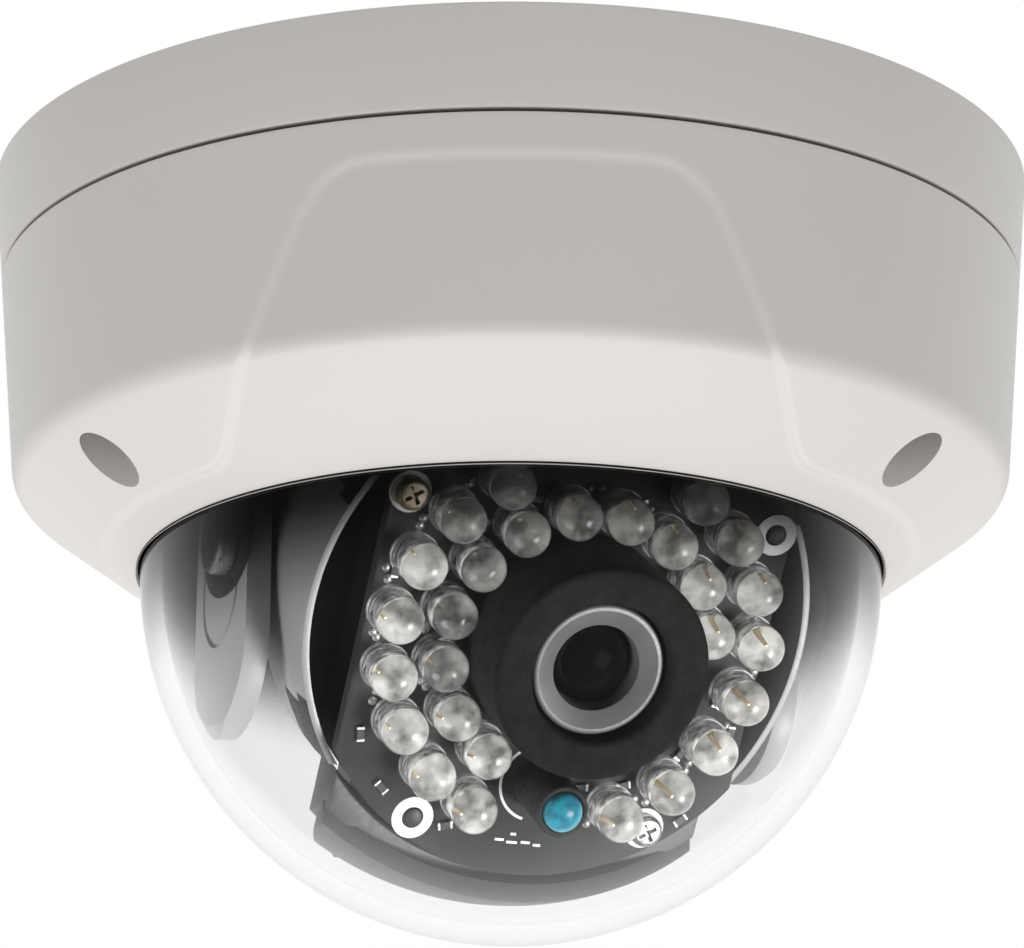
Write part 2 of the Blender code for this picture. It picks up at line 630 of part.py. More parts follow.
def make_cover_shell():
    inner = skin(COVER_WALL, COVER_TOP - TONGUE_FOOT, LEDGE_RADIUS)
    profile = [(TONGUE_OUTER, TONGUE_TOP), (TONGUE_OUTER, COVER_TOP)]
    profile += skin(0.0, COVER_TOP, OPENING_RADIUS)
    profile += [(OPENING_RADIUS, LEDGE_HEIGHT)]
    profile += inner[::-1]
    profile += [(TONGUE_INNER, COVER_TOP - TONGUE_FOOT), (TONGUE_INNER, TONGUE_TOP)]
    cover = turned("cover_shell", profile, "white_paint", steps=BODY_STEPS)
    # Bosses end inside the wall and the tongue that they stand on
    tongue_middle = TONGUE_OUTER - TONGUE_WALL / 2
    foot_middle = COVER_TOP - TONGUE_FOOT / 2
    core_line = [(0.0, TONGUE_TOP + TONGUE_WALL), (tongue_middle, TONGUE_TOP + TONGUE_WALL),
                 (tongue_middle, foot_middle)]
    core_line += skin(COVER_WALL / 2, foot_middle, OPENING_RADIUS)
    core_line += [(0.0, core_line[-1][1])]
    core = turned("boss_limit", core_line, steps=BODY_STEPS, closed=False)
    for number, angle in enumerate(SCREW_ANGLES, 1):
        at = polar(SCREW_CIRCLE, angle)
        boss = rod(f"cover_boss_{number}", BOSS_RADIUS, -2 * OPENING_DEPTH, TONGUE_TOP - SEAT_GAP, at=at)
        keep_inside(boss, core)
        fuse(cover, boss)
        cut(cover, rod(f"screw_well_{number}", WELL_RADIUS, -2 * OPENING_DEPTH, WELL_TOP, at=at))
        cut(cover, rod(f"screw_way_{number}", SCREW_HOLE_RADIUS, -2 * OPENING_DEPTH, BODY_RADIUS, at=at))
    for number, angle in enumerate(LUG_ANGLES, 1):
        at = polar(LUG_CIRCLE, angle)
        boss = rod(f"lug_boss_{number}", LUG_BOSS_RADIUS, -2 * OPENING_DEPTH, CLAMP_LOW - SEAT_GAP, at=at)
        keep_inside(boss, core)
        fuse(cover, boss)
    cut(cover, apron_cutter())


def make_dome_bubble():
    outer = []
    inner = []
    for step in range(DOME_ARC_STEPS + 1):
        angle = math.radians(90.0) * step / DOME_ARC_STEPS
        across = math.cos(angle) if step < DOME_ARC_STEPS else 0.0
        outer.append((DOME_RADIUS * across, DOME_CENTRE - DOME_RADIUS * math.sin(angle)))
        inner.append((DOME_INNER * across, DOME_CENTRE - DOME_INNER * math.sin(angle)))
    flange = [
        (DOME_INNER, FLANGE_HIGH),
        (FLANGE_RADIUS, FLANGE_HIGH),
        (FLANGE_RADIUS, FLANGE_LOW),
        (DOME_RADIUS, FLANGE_LOW),
    ]
    turned("dome_bubble", inner[::-1] + flange + outer, "clear_plastic", steps=BODY_STEPS, closed=False)


def make_dome_gasket():
    ring("dome_gasket", OPENING_RADIUS + SEAT_GAP, FLANGE_RADIUS, GASKET_LOW, GASKET_HIGH,
         "black_rubber", steps=BODY_STEPS)


def make_dome_retaining_ring():
    clamp = ring("dome_retaining_ring", DOME_INNER + CLAMP_INSET, FLANGE_RADIUS, CLAMP_LOW, CLAMP_HIGH,
                 "grey_metal", steps=BODY_STEPS)
    inside = CLAMP_LOW + CLAMP_THICKNESS / 2
    for number, angle in enumerate(LUG_ANGLES, 1):
        at = polar(LUG_CIRCLE, angle)
        fuse(clamp, rod(f"clamp_lug_{number}", LUG_RADIUS, CLAMP_LOW, CLAMP_HIGH, at=at))
        fuse(clamp, rod(f"clamp_screw_{number}", LUG_SCREW_RADIUS, inside, CLAMP_HIGH + LUG_SCREW_HEIGHT,
                        at=at, steps=PIN_STEPS))


def make_cover_screws():
    head_high = WELL_TOP - SEAT_GAP
    head_low = head_high - SCREW_HEAD_HEIGHT
    head_radius = WELL_RADIUS - SLIP_GAP
    tip = -SCREW_HOLE_END - SLIP_GAP
    profile = [
        (0.0, tip),
        (SCREW_SHANK_RADIUS, tip),
        (SCREW_SHANK_RADIUS, head_high),
        (head_radius, head_high),
        (head_radius, head_low),
        (0.0, head_low),
    ]
    for number, angle in enumerate(SCREW_ANGLES, 1):
        at = polar(SCREW_CIRCLE, angle)
        screw = turned(f"cover_screw_{number}", profile, "steel", steps=SMALL_STEPS, closed=False)
        screw.location = (*at, 0.0)
        socket = rod(f"screw_socket_{number}", head_radius / 2, head_low - SCREW_HEAD_HEIGHT,
                     head_low + SCREW_HEAD_HEIGHT / 2, at=at, steps=SOCKET_SIDES)
        cut(screw, socket)


# Pan bracket

def make_pan_bracket():
    low = -SPIGOT_DEPTH
    high = low + BRACKET_THICKNESS
    middle = (low + high) / 2
    bracket = ring("pan_bracket", SPIGOT_RADIUS + SLIP_GAP, BRACKET_RADIUS, low, high, "black_plastic",
                   pan_axis)
    half = ARM_WIDTH / 2
    for name, side in (("left", -1), ("right", 1)):
        near, far = sorted((side * ARM_INNER, side * ARM_OUTER))
        arm = block(f"arm_{name}", (near, ARM_OFFSET - half, DOME_CENTRE), (far, ARM_OFFSET + half, middle),
                    parent=pan_axis)
        foot = rod(f"arm_foot_{name}", half, near, far, parent=pan_axis, at=(ARM_OFFSET, DOME_CENTRE),
                   along="X", steps=RING_STEPS)
        fuse(arm, foot)
        rib_end = side * (ARM_OUTER + ARM_RIB_REACH)
        rib_outline = [
            (side * (ARM_OUTER - ARM_THICKNESS / 2), middle),
            (rib_end, middle),
            (rib_end, low - ARM_RIB_THICKNESS),
            (side * (ARM_OUTER - ARM_THICKNESS / 2), low - ARM_RIB_DROP),
        ]
        rib = slab(f"arm_rib_{name}", rib_outline[::side], lambda x, z: (x, ARM_OFFSET, z), ARM_RIB_THICKNESS,
                   parent=pan_axis)
        fuse(bracket, arm, rib)
    cut(bracket, rod("arm_pivot_way", PIVOT_HOLE_RADIUS, -BODY_RADIUS, BODY_RADIUS, parent=pan_axis,
                     at=(0.0, DOME_CENTRE), along="X"))
    cut(bracket, rod("lock_screw_way", LOCK_SCREW_SHANK + SLIP_GAP, -BODY_RADIUS, 0.0, parent=pan_axis,
                     at=(0.0, -LOCK_SCREW_OFFSET)))


def make_pan_lock_screw():
    head_high = -SPIGOT_DEPTH - SEAT_GAP
    head_low = head_high - LOCK_SCREW_HEIGHT
    tip = -SPIGOT_DEPTH + 2 * BRACKET_THICKNESS
    profile = [
        (0.0, tip),
        (LOCK_SCREW_SHANK, tip),
        (LOCK_SCREW_SHANK, head_high),
        (LOCK_SCREW_HEAD, head_high),
        (LOCK_SCREW_HEAD, head_low),
        (0.0, head_low),
    ]
    screw = turned("pan_lock_screw", profile, "steel", pan_axis, SMALL_STEPS, closed=False)
    screw.location = (0.0, -LOCK_SCREW_OFFSET, 0.0)
    reach = 2 * LOCK_SCREW_HEAD
    slot = block("lock_screw_slot", (-reach, -LOCK_SCREW_OFFSET - SLOT_WIDTH / 2, head_low - SLOT_DEPTH),
                 (reach, -LOCK_SCREW_OFFSET + SLOT_WIDTH / 2, head_low + SLOT_DEPTH), parent=pan_axis)
    cut(screw, slot)


# Tilt frame

def make_tilt_frame():
    # A rounded front plate that carries the roll carrier, and two tapered, pierced sides
    half = [
        (FRAME_HALF_HEIGHT, FRAME_FRONT),
        (FRAME_HALF_HEIGHT, FRAME_BACK),
        (FRAME_SIDE_HALF_HEIGHT, FRAME_BACK),
        (FRAME_TAIL_HALF_HEIGHT, -FRAME_TAIL),
    ]
    outline = half + [(-y, z) for y, z in half[::-1]]
    frame = slab("tilt_frame", outline, lambda y, z: (0.0, y, z), 2 * FRAME_OUTER, "black_plastic", tilt_axis)
    hollow = block("frame_hollow", (-FRAME_INNER, -BODY_RADIUS, -BODY_RADIUS),
                   (FRAME_INNER, BODY_RADIUS, FRAME_BACK), parent=tilt_axis)
    bore = rod("frame_bore", HUB_RADIUS + SEAT_GAP, -BODY_RADIUS, BODY_RADIUS, parent=tilt_axis,
               steps=RING_STEPS)
    cut(frame, hollow, bore)
    plate_radius = math.hypot(FRAME_OUTER, FRAME_SIDE_HALF_HEIGHT)
    keep_inside(frame, rod("frame_round", plate_radius, -BODY_RADIUS, BODY_RADIUS, parent=tilt_axis,
                           steps=RING_STEPS))
    middle = (FRAME_INNER + FRAME_OUTER) / 2
    boss_end = FRAME_OUTER + PIVOT_BOSS_LENGTH
    for name, side in (("left", -1), ("right", 1)):
        near, far = sorted((side * middle, side * boss_end))
        fuse(frame, rod(f"pivot_boss_{name}", PIVOT_BOSS_RADIUS, near, far, parent=tilt_axis, along="X"))
    cut(frame, rod("pivot_way", PIVOT_HOLE_RADIUS, -BODY_RADIUS, BODY_RADIUS, parent=tilt_axis, along="X"))


def make_pivot_screws():
    tip = FRAME_INNER + FRAME_WALL / 2
    seat = ARM_OUTER + SEAT_GAP
    top = seat + PIVOT_HEAD_HEIGHT
    profile = [
        (0.0, top),
        (PIVOT_HEAD_RADIUS, top),
        (PIVOT_HEAD_RADIUS, seat),
        (PIVOT_SHANK_RADIUS, seat),
        (PIVOT_SHANK_RADIUS, tip),
        (0.0, tip),
    ]
    reach = 2 * PIVOT_HEAD_RADIUS
    for name, side in (("left", -1), ("right", 1)):
        screw = turned(f"pivot_screw_{name}", profile, "steel", tilt_axis, SMALL_STEPS, closed=False)
        slot = block(f"pivot_slot_{name}", (-reach, -SLOT_WIDTH / 2, top - SLOT_DEPTH),
                     (reach, SLOT_WIDTH / 2, top + SLOT_DEPTH), parent=tilt_axis)
        for piece in (screw, slot):
            piece.rotation_euler.y = side * math.radians(90.0)
        cut(screw, slot)


def make_tilt_liner():
    # A chin below the lights: a spherical band swept round the tilt axis, narrower
    # towards its tail, on two tabs
    profile = []
    arc_steps = 3 * ARC_STEPS
    widest = math.asin(LINER_HALF_WIDTH / LINER_RADIUS)
    for step in range(arc_steps + 1):
        angle = widest * (2 * step / arc_steps - 1)
        profile.append((LINER_RADIUS * math.sin(angle), LINER_RADIUS * math.cos(angle)))
    down = -math.sin(LINER_START)
    ahead = math.cos(LINER_START)
    mesh = bpy.data.meshes.new("tilt_liner")
    points = [(across, reach * down, reach * ahead) for across, reach in profile]
    mesh.from_pydata(points, [(i, i + 1) for i in range(len(points) - 1)], [])
    liner = add_object("tilt_liner", mesh, "black_plastic", tilt_axis)
    screw = liner.modifiers.new("sweep", "SCREW")
    screw.axis = "X"
    screw.angle = LINER_SWEEP
    screw.steps = LINER_STEPS
    screw.render_steps = LINER_STEPS
    screw.merge_threshold = 0.00001
    wall = liner.modifiers.new("wall", "SOLIDIFY")
    wall.thickness = LINER_WALL
    wall.offset = 1.0
    wall.use_even_offset = True
    wide = LINER_HALF_WIDTH + LINER_WALL
    tail = LINER_RADIUS * math.cos(LINER_START + LINER_SWEEP) - LINER_WALL
    half = [(wide, LINER_RADIUS), (wide, LINER_TAPER_START), (LINER_TAIL_HALF_WIDTH, tail)]
    outline = half + [(-x, z) for x, z in half[::-1]]
    keep_inside(liner, slab("liner_taper", outline, lambda x, z: (x, -LINER_RADIUS / 2, z), 2 * LINER_RADIUS,
                            parent=tilt_axis))
    tab_middle = LINER_TAB_OFFSET
    wall_middle = math.sqrt((LINER_RADIUS - LINER_WALL / 2) ** 2 - tab_middle ** 2)
    tab_front = FRAME_BACK - SEAT_GAP
    tab_rear = tab_front - LINER_TAB_WIDTH
    tab_outline = [
        (-LINER_TAB_REACH, tab_front),
        (-LINER_TAB_REACH, tab_rear),
        (-math.sqrt(wall_middle ** 2 - tab_rear ** 2), tab_rear),
        (-math.sqrt(wall_middle ** 2 - tab_front ** 2), tab_front),
    ]
    for name, side in (("left", -1), ("right", 1)):
        fuse(liner, slab(f"liner_tab_{name}", tab_outline, lambda y, z: (side * tab_middle, y, z), LINER_WALL,
                         parent=tilt_axis))


# Roll carrier and lights

def board_outline_cutters(name, parent):
    far = 2 * LED_BOARD_RADIUS
    left = block(f"{name}_flat_left", (-far, -far, -far), (-LED_BOARD_FLAT, far, far), parent=parent)
    right = block(f"{name}_flat_right", (LED_BOARD_FLAT, -far, -far), (far, far, far), parent=parent)
    return left, right


def make_roll_carrier():
    groove_high = FRAME_BACK - SEAT_GAP / 2
    groove_low = groove_high - SNAP_RING_THICKNESS - SEAT_GAP
    tail = FRAME_FRONT - HUB_TAIL
    profile = [
        (HUB_BORE, CARRIER_FRONT),
        (LED_BOARD_RADIUS, CARRIER_FRONT),
        (LED_BOARD_RADIUS, CARRIER_BACK),
        (HUB_RADIUS, CARRIER_BACK),
        (HUB_RADIUS, groove_high),
        (HUB_RADIUS - SNAP_GROOVE_DEPTH, groove_high),
        (HUB_RADIUS - SNAP_GROOVE_DEPTH, groove_low),
        (HUB_RADIUS, groove_low),
        (HUB_RADIUS, tail),
        (HUB_BORE, tail),
    ]
    carrier = turned("roll_carrier", profile, "black_plastic", roll_axis)
    cut(carrier, *board_outline_cutters("carrier", roll_axis))
    inside = CARRIER_BACK + CARRIER_THICKNESS / 2
    for number, at in enumerate(POST_PLACES):
        post_top = LED_BOARD_BACK - SEAT_GAP
        fuse(carrier, rod(f"post_{number}", POST_RADIUS, inside, post_top, parent=roll_axis, at=at))
        if number % 2 == 0:
            fuse(carrier, rod(f"post_pin_{number}", PIN_RADIUS, inside, LED_BOARD_FRONT + PIN_PROUD,
                              parent=roll_axis, at=at, steps=PIN_STEPS))
        else:
            cut(carrier, rod(f"post_hole_{number}", BOARD_SCREW_SHANK + SEAT_GAP, -BODY_RADIUS, BODY_RADIUS,
                             parent=roll_axis, at=at, steps=PIN_STEPS))


def make_roll_retaining_ring():
    # An open spring ring in the hub's groove, behind the frame's front plate
    high = FRAME_BACK - SEAT_GAP
    low = high - SNAP_RING_THICKNESS + SEAT_GAP / 2
    bore = HUB_RADIUS - SNAP_GROOVE_DEPTH + SEAT_GAP
    snap = ring("roll_retaining_ring", bore, SNAP_RING_RADIUS, low, high, "steel", roll_axis)
    half = SNAP_RING_OPENING / 2
    cut(snap, block("snap_opening", (-half, 0.0, -BODY_RADIUS), (half, BODY_RADIUS, BODY_RADIUS),
                    parent=roll_axis))


def make_led_board():
    board = rod("led_board", LED_BOARD_RADIUS, LED_BOARD_BACK, LED_BOARD_FRONT, "dark_board", roll_axis,
                steps=RING_STEPS)
    cut(board, *board_outline_cutters("led_board", roll_axis))
    cut(board, rod("led_board_bore", SHIELD_BORE + SLIP_GAP, -BODY_RADIUS, BODY_RADIUS, parent=roll_axis,
                   steps=RING_STEPS))
    for number, at in enumerate(POST_PLACES):
        cut(board, rod(f"led_board_hole_{number}", PIN_RADIUS + SEAT_GAP, -BODY_RADIUS, BODY_RADIUS,
                       parent=roll_axis, at=at, steps=PIN_STEPS))


def make_board_screws():
    seat = SEAT_ON_BOARD
    tip = CARRIER_FRONT
    profile = [
        (0.0, seat + BOARD_SCREW_HEIGHT),
        (BOARD_SCREW_HEAD, seat + BOARD_SCREW_HEIGHT),
        (BOARD_SCREW_HEAD, seat),
        (BOARD_SCREW_SHANK, seat),
        (BOARD_SCREW_SHANK, tip),
        (0.0, tip),
    ]
    for number, at in enumerate(POST_PLACES[1::2], 1):
        screw = turned(f"board_screw_{number}", profile, "steel", roll_axis, PIN_STEPS, closed=False)
        screw.location = (*at, 0.0)


def make_leds():
    profile = crown(LED_RADIUS, LED_RADIUS, LED_HEIGHT - LED_RADIUS)
    profile += [(LED_RADIUS, LED_FLANGE_HEIGHT), (LED_FLANGE_RADIUS, LED_FLANGE_HEIGHT),
                (LED_FLANGE_RADIUS, 0.0), (0.0, 0.0)]
    rows = (
        ("inner", INNER_LED_CIRCLE, INNER_LED_RUNS, INNER_LED_PITCH),
        ("outer", OUTER_LED_CIRCLE, OUTER_LED_RUNS, OUTER_LED_PITCH),
    )
    for row, circle, runs, pitch in rows:
        angles = [start + pitch * step for start, count in runs for step in range(count)]
        for number, angle in enumerate(angles, 1):
            led = turned(f"led_{row}_{number:02d}", profile, "clear_led", roll_axis, LED_STEPS, closed=False)
            led.location = (*polar(circle, angle), SEAT_ON_BOARD)


def make_infrared_shield_ring():
    top = SEAT_ON_BOARD + SHIELD_HEIGHT
    profile = [
        (SHIELD_BORE, top - SHIELD_ROUND),
        (SHIELD_BORE + SHIELD_ROUND, top),
        (SHIELD_RADIUS - SHIELD_ROUND, top),
        (SHIELD_RADIUS, top - SHIELD_ROUND),
        (SHIELD_RADIUS, SEAT_ON_BOARD),
        (SHIELD_BORE, SEAT_ON_BOARD),
    ]
    turned("infrared_shield_ring", profile, "black_foam", roll_axis)


def make_light_sensor():
    top = SEAT_ON_BOARD + SENSOR_TUBE_HEIGHT
    bore = SENSOR_WINDOW_RADIUS + SEAT_GAP
    tube = ring("light_sensor_tube", bore, SENSOR_TUBE_RADIUS, SEAT_ON_BOARD, top, "black_rubber", roll_axis,
                SMALL_STEPS)
    profile = crown(SENSOR_WINDOW_RADIUS, SENSOR_WINDOW_PROUD, top)
    profile += [(SENSOR_WINDOW_RADIUS, SEAT_ON_BOARD), (0.0, SEAT_ON_BOARD)]
    window = turned("light_sensor_window", profile, "blue_resin", roll_axis, PIN_STEPS, closed=False)
    for piece in (tube, window):
        piece.location = (*SENSOR_PLACE, 0.0)


# Lens

def make_sensor_board():
    half = SENSOR_BOARD_SIDE / 2
    chip = SENSOR_CHIP_SIDE / 2
    board = block("sensor_board", (-half, -half, -SENSOR_BOARD_BACK), (half, half, SENSOR_BOARD_FRONT),
                  "green_board", roll_axis)
    inside = SENSOR_BOARD_FRONT - SENSOR_BOARD_THICKNESS / 2
    fuse(board, block("sensor_chip", (-chip, -chip, inside),
                      (chip, chip, SENSOR_BOARD_FRONT + SENSOR_CHIP_HEIGHT), parent=roll_axis))


def make_lens_mount():
    foot = SENSOR_BOARD_FRONT + SEAT_GAP
    tube = HUB_BORE - SEAT_GAP
    mount = ring("lens_mount", LENS_MOUNT_BORE, tube, foot + LENS_MOUNT_FOOT / 2, LENS_MOUNT_FRONT,
                 "black_plastic", roll_axis)
    half = LENS_MOUNT_FLANGE / 2
    flange = block("lens_mount_flange", (-half, -half, foot), (half, half, foot + LENS_MOUNT_FOOT),
                   parent=roll_axis)
    cut(flange, rod("lens_mount_bore", LENS_MOUNT_BORE, -BODY_RADIUS, BODY_RADIUS, parent=roll_axis,
                    steps=RING_STEPS))
    fuse(mount, flange)


def make_lens():
    ring("lens_barrel", LENS_BARREL_BORE, LENS_THREAD_RADIUS, LENS_REAR, LENS_BARREL_FRONT, "black_plastic",
         roll_axis)
    lock_low = LENS_MOUNT_FRONT + SEAT_GAP
    ring("lens_lock_ring", LENS_MOUNT_BORE, LOCK_RING_RADIUS, lock_low, lock_low + LOCK_RING_THICKNESS,
         "grey_metal", roll_axis)
    rear = LENS_BARREL_FRONT + SEAT_GAP
    throat = LENS_RIM_FRONT - LENS_MOUTH_DEPTH
    rim = [
        (GLASS_BORE, throat),
        (LENS_MOUTH_RADIUS, LENS_RIM_FRONT),
        (LENS_RIM_RADIUS, LENS_RIM_FRONT),
        (LENS_RIM_RADIUS, rear),
        (GLASS_BORE, rear),
    ]
    turned("lens_front_ring", rim, "grey_metal", roll_axis)
    glass_rear = throat - GLASS_THICKNESS
    glass = crown(GLASS_RADIUS, GLASS_CROWN, throat, ARC_STEPS)
    glass += [(GLASS_RADIUS, glass_rear), (0.0, glass_rear)]
    turned("lens_glass", glass, "lens_glass", roll_axis, RING_STEPS, closed=False)


make_mounting_base()
make_side_outlet_plug()
make_cable_grommet()
make_base_seal_ring()
make_main_board()
make_pan_clamp_ring()
make_cover_shell()
make_dome_bubble()
make_dome_gasket()
make_dome_retaining_ring()
make_cover_screws()
make_pan_bracket()
make_pan_lock_screw()
make_tilt_frame()
make_pivot_screws()
make_tilt_liner()
make_roll_carrier()
make_roll_retaining_ring()
make_led_board()
make_board_screws()
make_leds()
make_infrared_shield_ring()
make_light_sensor()
make_sensor_board()
make_lens_mount()
make_lens()
for piece in parts.objects:
    if any(modifier.type == "BOOLEAN" for modifier in piece.modifiers):
        clean_edges(piece)
    if piece.type == "MESH":
        piece.modifiers.new("flat_face_shading", "WEIGHTED_NORMAL")
bpy.context.view_layer.update()
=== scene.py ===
import math
import random

import bpy
from mathutils import Matrix, Vector


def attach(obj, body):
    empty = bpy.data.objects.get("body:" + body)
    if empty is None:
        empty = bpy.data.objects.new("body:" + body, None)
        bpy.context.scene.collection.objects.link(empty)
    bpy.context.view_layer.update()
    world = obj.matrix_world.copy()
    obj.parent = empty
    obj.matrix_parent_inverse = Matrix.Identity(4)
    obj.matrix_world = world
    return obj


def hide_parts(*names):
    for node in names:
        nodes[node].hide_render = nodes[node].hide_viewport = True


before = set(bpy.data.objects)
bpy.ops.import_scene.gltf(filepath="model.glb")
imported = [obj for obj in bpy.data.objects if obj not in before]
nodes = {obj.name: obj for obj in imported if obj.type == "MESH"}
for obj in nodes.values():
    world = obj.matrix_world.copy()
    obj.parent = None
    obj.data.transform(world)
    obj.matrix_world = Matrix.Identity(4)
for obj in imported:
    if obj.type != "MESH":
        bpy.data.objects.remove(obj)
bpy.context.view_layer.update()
mm = 0.001  # sizes below are in millimetres
through = (-60, 60)  # reach of a cutter that passes right through a piece


def turnBy(degrees, axis="Z"):
    return Matrix.Rotation(math.radians(degrees), 4, axis)


def shiftBy(x=0.0, y=0.0, z=0.0):
    return Matrix.Translation((x * mm, y * mm, z * mm))


# where the head looks at rest: turned to the right, tipped down
headPose = {"pan": 21.75, "tiltDown": 34.9, "middle": -43.1}
panTurn = turnBy(headPose["pan"])
panPlace = panTurn @ shiftBy(z=headPose["middle"])
headPlace = panPlace @ turnBy(90 + headPose["tiltDown"], "X")


# modelling by hand, as small steps

def pickNone():
    if bpy.context.object and bpy.context.object.mode != "OBJECT":
        bpy.ops.object.mode_set(mode="OBJECT")
    bpy.ops.object.select_all(action="DESELECT")


def pickOnly(piece):
    pickNone()
    piece.select_set(True)
    bpy.context.view_layer.objects.active = piece


def editAll(piece):
    pickOnly(piece)
    bpy.ops.object.mode_set(mode="EDIT")
    bpy.ops.mesh.select_all(action="SELECT")


def editDone():
    bpy.ops.object.mode_set(mode="OBJECT")


def cleanShell(piece):
    editAll(piece)
    bpy.ops.mesh.remove_doubles(threshold=0.002 * mm)
    bpy.ops.mesh.normals_make_consistent(inside=False)
    editDone()


def applyAll(piece):
    pickOnly(piece)
    for modifier in list(piece.modifiers):
        bpy.ops.object.modifier_apply(modifier=modifier.name)


def drawLine(name, points, closed=False):
    # one vertex, extruded from point to point in the XZ plane
    pickNone()
    bpy.ops.mesh.primitive_plane_add(size=mm)
    piece = bpy.context.object
    piece.name = piece.data.name = name
    bpy.ops.object.mode_set(mode="EDIT")
    bpy.ops.mesh.select_all(action="SELECT")
    bpy.ops.mesh.merge(type="CENTER")
    bpy.ops.transform.translate(value=(points[0][0] * mm, 0, points[0][1] * mm))
    for here, there in zip(points, points[1:]):
        step = ((there[0] - here[0]) * mm, 0, (there[1] - here[1]) * mm)
        bpy.ops.mesh.extrude_vertices_move(TRANSFORM_OT_translate={"value": step})
    editDone()
    if closed:
        last = len(piece.data.vertices) - 1
        for number, vertex in enumerate(piece.data.vertices):
            vertex.select = number in (0, last)
        bpy.ops.object.mode_set(mode="EDIT")
        bpy.ops.mesh.edge_face_add()
        editDone()
    return piece


def spinLine(piece, steps, sweep=360.0):
    pickOnly(piece)
    spin = piece.modifiers.new("spin", "SCREW")
    spin.axis = "Z"
    spin.angle = math.radians(sweep)
    spin.steps = spin.render_steps = steps
    spin.use_merge_vertices = True
    spin.merge_threshold = 0.001 * mm
    applyAll(piece)
    return piece


def lathe(name, points, steps=96, closed=True):
    # closed for a ring; open when the line starts and ends on the axis
    piece = spinLine(drawLine(name, points, closed), steps)
    cleanShell(piece)
    return piece


def roundCorner(before, corner, after, radius, steps=5):
    here = Vector(corner)
    first = (Vector(before) - here).normalized()
    second = (Vector(after) - here).normalized()
    half = first.angle(second) / 2
    middle = here + (first + second).normalized() * (radius / math.sin(half))
    reach = radius / math.tan(half)
    start, end = here + first * reach - middle, here + second * reach - middle
    turn = start.angle(end)
    line = []
    for step in range(steps + 1):
        share = step / steps
        spoke = start * math.sin((1 - share) * turn) + end * math.sin(share * turn)
        line.append(tuple(middle + spoke / math.sin(turn)))
    return line


def softLine(points, steps=4):
    # points are (radius, height) or (radius, height, rounding)
    line = []
    count = len(points)
    for number, point in enumerate(points):
        if len(point) == 2:
            line.append(point)
            continue
        before, after = points[number - 1][:2], points[(number + 1) % count][:2]
        line += roundCorner(before, point[:2], after, point[2], steps)
    return line


def polar(radius, degrees):
    turn = math.radians(degrees)
    return radius * math.cos(turn), radius * math.sin(turn)


def quarterArc(radius, rise, middle, steps):
    # from the axis, round to the full radius
    turns = [math.radians(90 * step / steps) for step in range(steps + 1)]
    return [(radius * math.sin(turn), middle + rise * math.cos(turn)) for turn in turns]


def rod(name, radius, low, high, at=(0, 0), steps=48):
    pickNone()
    place = (at[0] * mm, at[1] * mm, (low + high) / 2 * mm)
    depth = (high - low) * mm
    bpy.ops.mesh.primitive_cylinder_add(vertices=steps, radius=radius * mm, depth=depth, location=place)
    return settle(bpy.context.object, name)


def block(name, low, high, edge=0.0, segments=2):
    pickNone()
    size = [(b - a) * mm for a, b in zip(low, high)]
    middle = [(a + b) / 2 * mm for a, b in zip(low, high)]
    bpy.ops.mesh.primitive_cube_add(size=1, location=middle, scale=size)
    piece = settle(bpy.context.object, name)
    if edge:
        softenEdges(piece, edge, segments)
    return piece


def settle(piece, name=None):
    # the place goes into the mesh, the object stays at the origin
    pickOnly(piece)
    bpy.ops.object.transform_apply(location=True, rotation=True, scale=True)
    if name:
        piece.name = piece.data.name = name
    return piece


def putAt(piece, place):
    piece.matrix_world = place
    return settle(piece)


def softenEdges(piece, width, segments=2, angle=30.0):
    bevel = piece.modifiers.new("edges", "BEVEL")
    bevel.width = width * mm
    bevel.segments = segments
    bevel.limit_method = "ANGLE"
    bevel.angle_limit = math.radians(angle)
    bevel.harden_normals = False
    applyAll(piece)


def combine(piece, tools, operation):
    for tool in tools:
        step = piece.modifiers.new("shape", "BOOLEAN")
        step.operation = operation
        step.solver = "EXACT"
        step.object = tool
        applyAll(piece)
        bpy.data.objects.remove(tool, do_unlink=True)
    return piece


def cutOut(piece, *tools):
    return combine(piece, tools, "DIFFERENCE")


def weldOn(piece, *tools):
    return combine(piece, tools, "UNION")


def joinUp(name, pieces):
    pickNone()
    for piece in pieces:
        piece.select_set(True)
    bpy.context.view_layer.objects.active = pieces[0]
    bpy.ops.object.join()
    pieces[0].name = pieces[0].data.name = name
    return pieces[0]


def copyTo(piece, name, place):
    twin = piece.copy()
    twin.data = piece.data.copy()
    twin.name = twin.data.name = name
    bpy.context.scene.collection.objects.link(twin)
    return putAt(twin, place)


def smoothOver(piece, angle=35.0):
    pickOnly(piece)
    bpy.ops.object.shade_smooth_by_angle(angle=math.radians(angle), keep_sharp_edges=True)
    return piece


def dress(piece, *finishes):
    piece.data.materials.clear()
    for finish in finishes:
        piece.data.materials.append(finish)
    return piece


def mount(piece, body, standsFor=(), place=None):
    if place is not None:
        putAt(piece, place)
    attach(piece, body)
    if standsFor:
        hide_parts(*standsFor)
    return piece


# finishes

finishing = {"grainLow": 0.3, "grainHigh": 0.7, "coatRoughness": 0.12, "resinCoatRoughness": 0.27}


def newFinish(name):
    finish = bpy.data.materials.new(name)
    finish.use_nodes = True
    return finish, finish.node_tree, finish.node_tree.nodes["Principled BSDF"]


def addNode(tree, kind, **values):
    node = tree.nodes.new(kind)
    for key, value in values.items():
        setattr(node, key, value)
    return node


def grain(tree, scale, detail=3.0, roughness=0.5):
    spot = addNode(tree, "ShaderNodeTexCoord")
    noise = addNode(tree, "ShaderNodeTexNoise")
    noise.inputs["Scale"].default_value = scale
    noise.inputs["Detail"].default_value = detail
    noise.inputs["Roughness"].default_value = roughness
    tree.links.new(spot.outputs["Object"], noise.inputs["Vector"])
    return noise.outputs["Fac"]


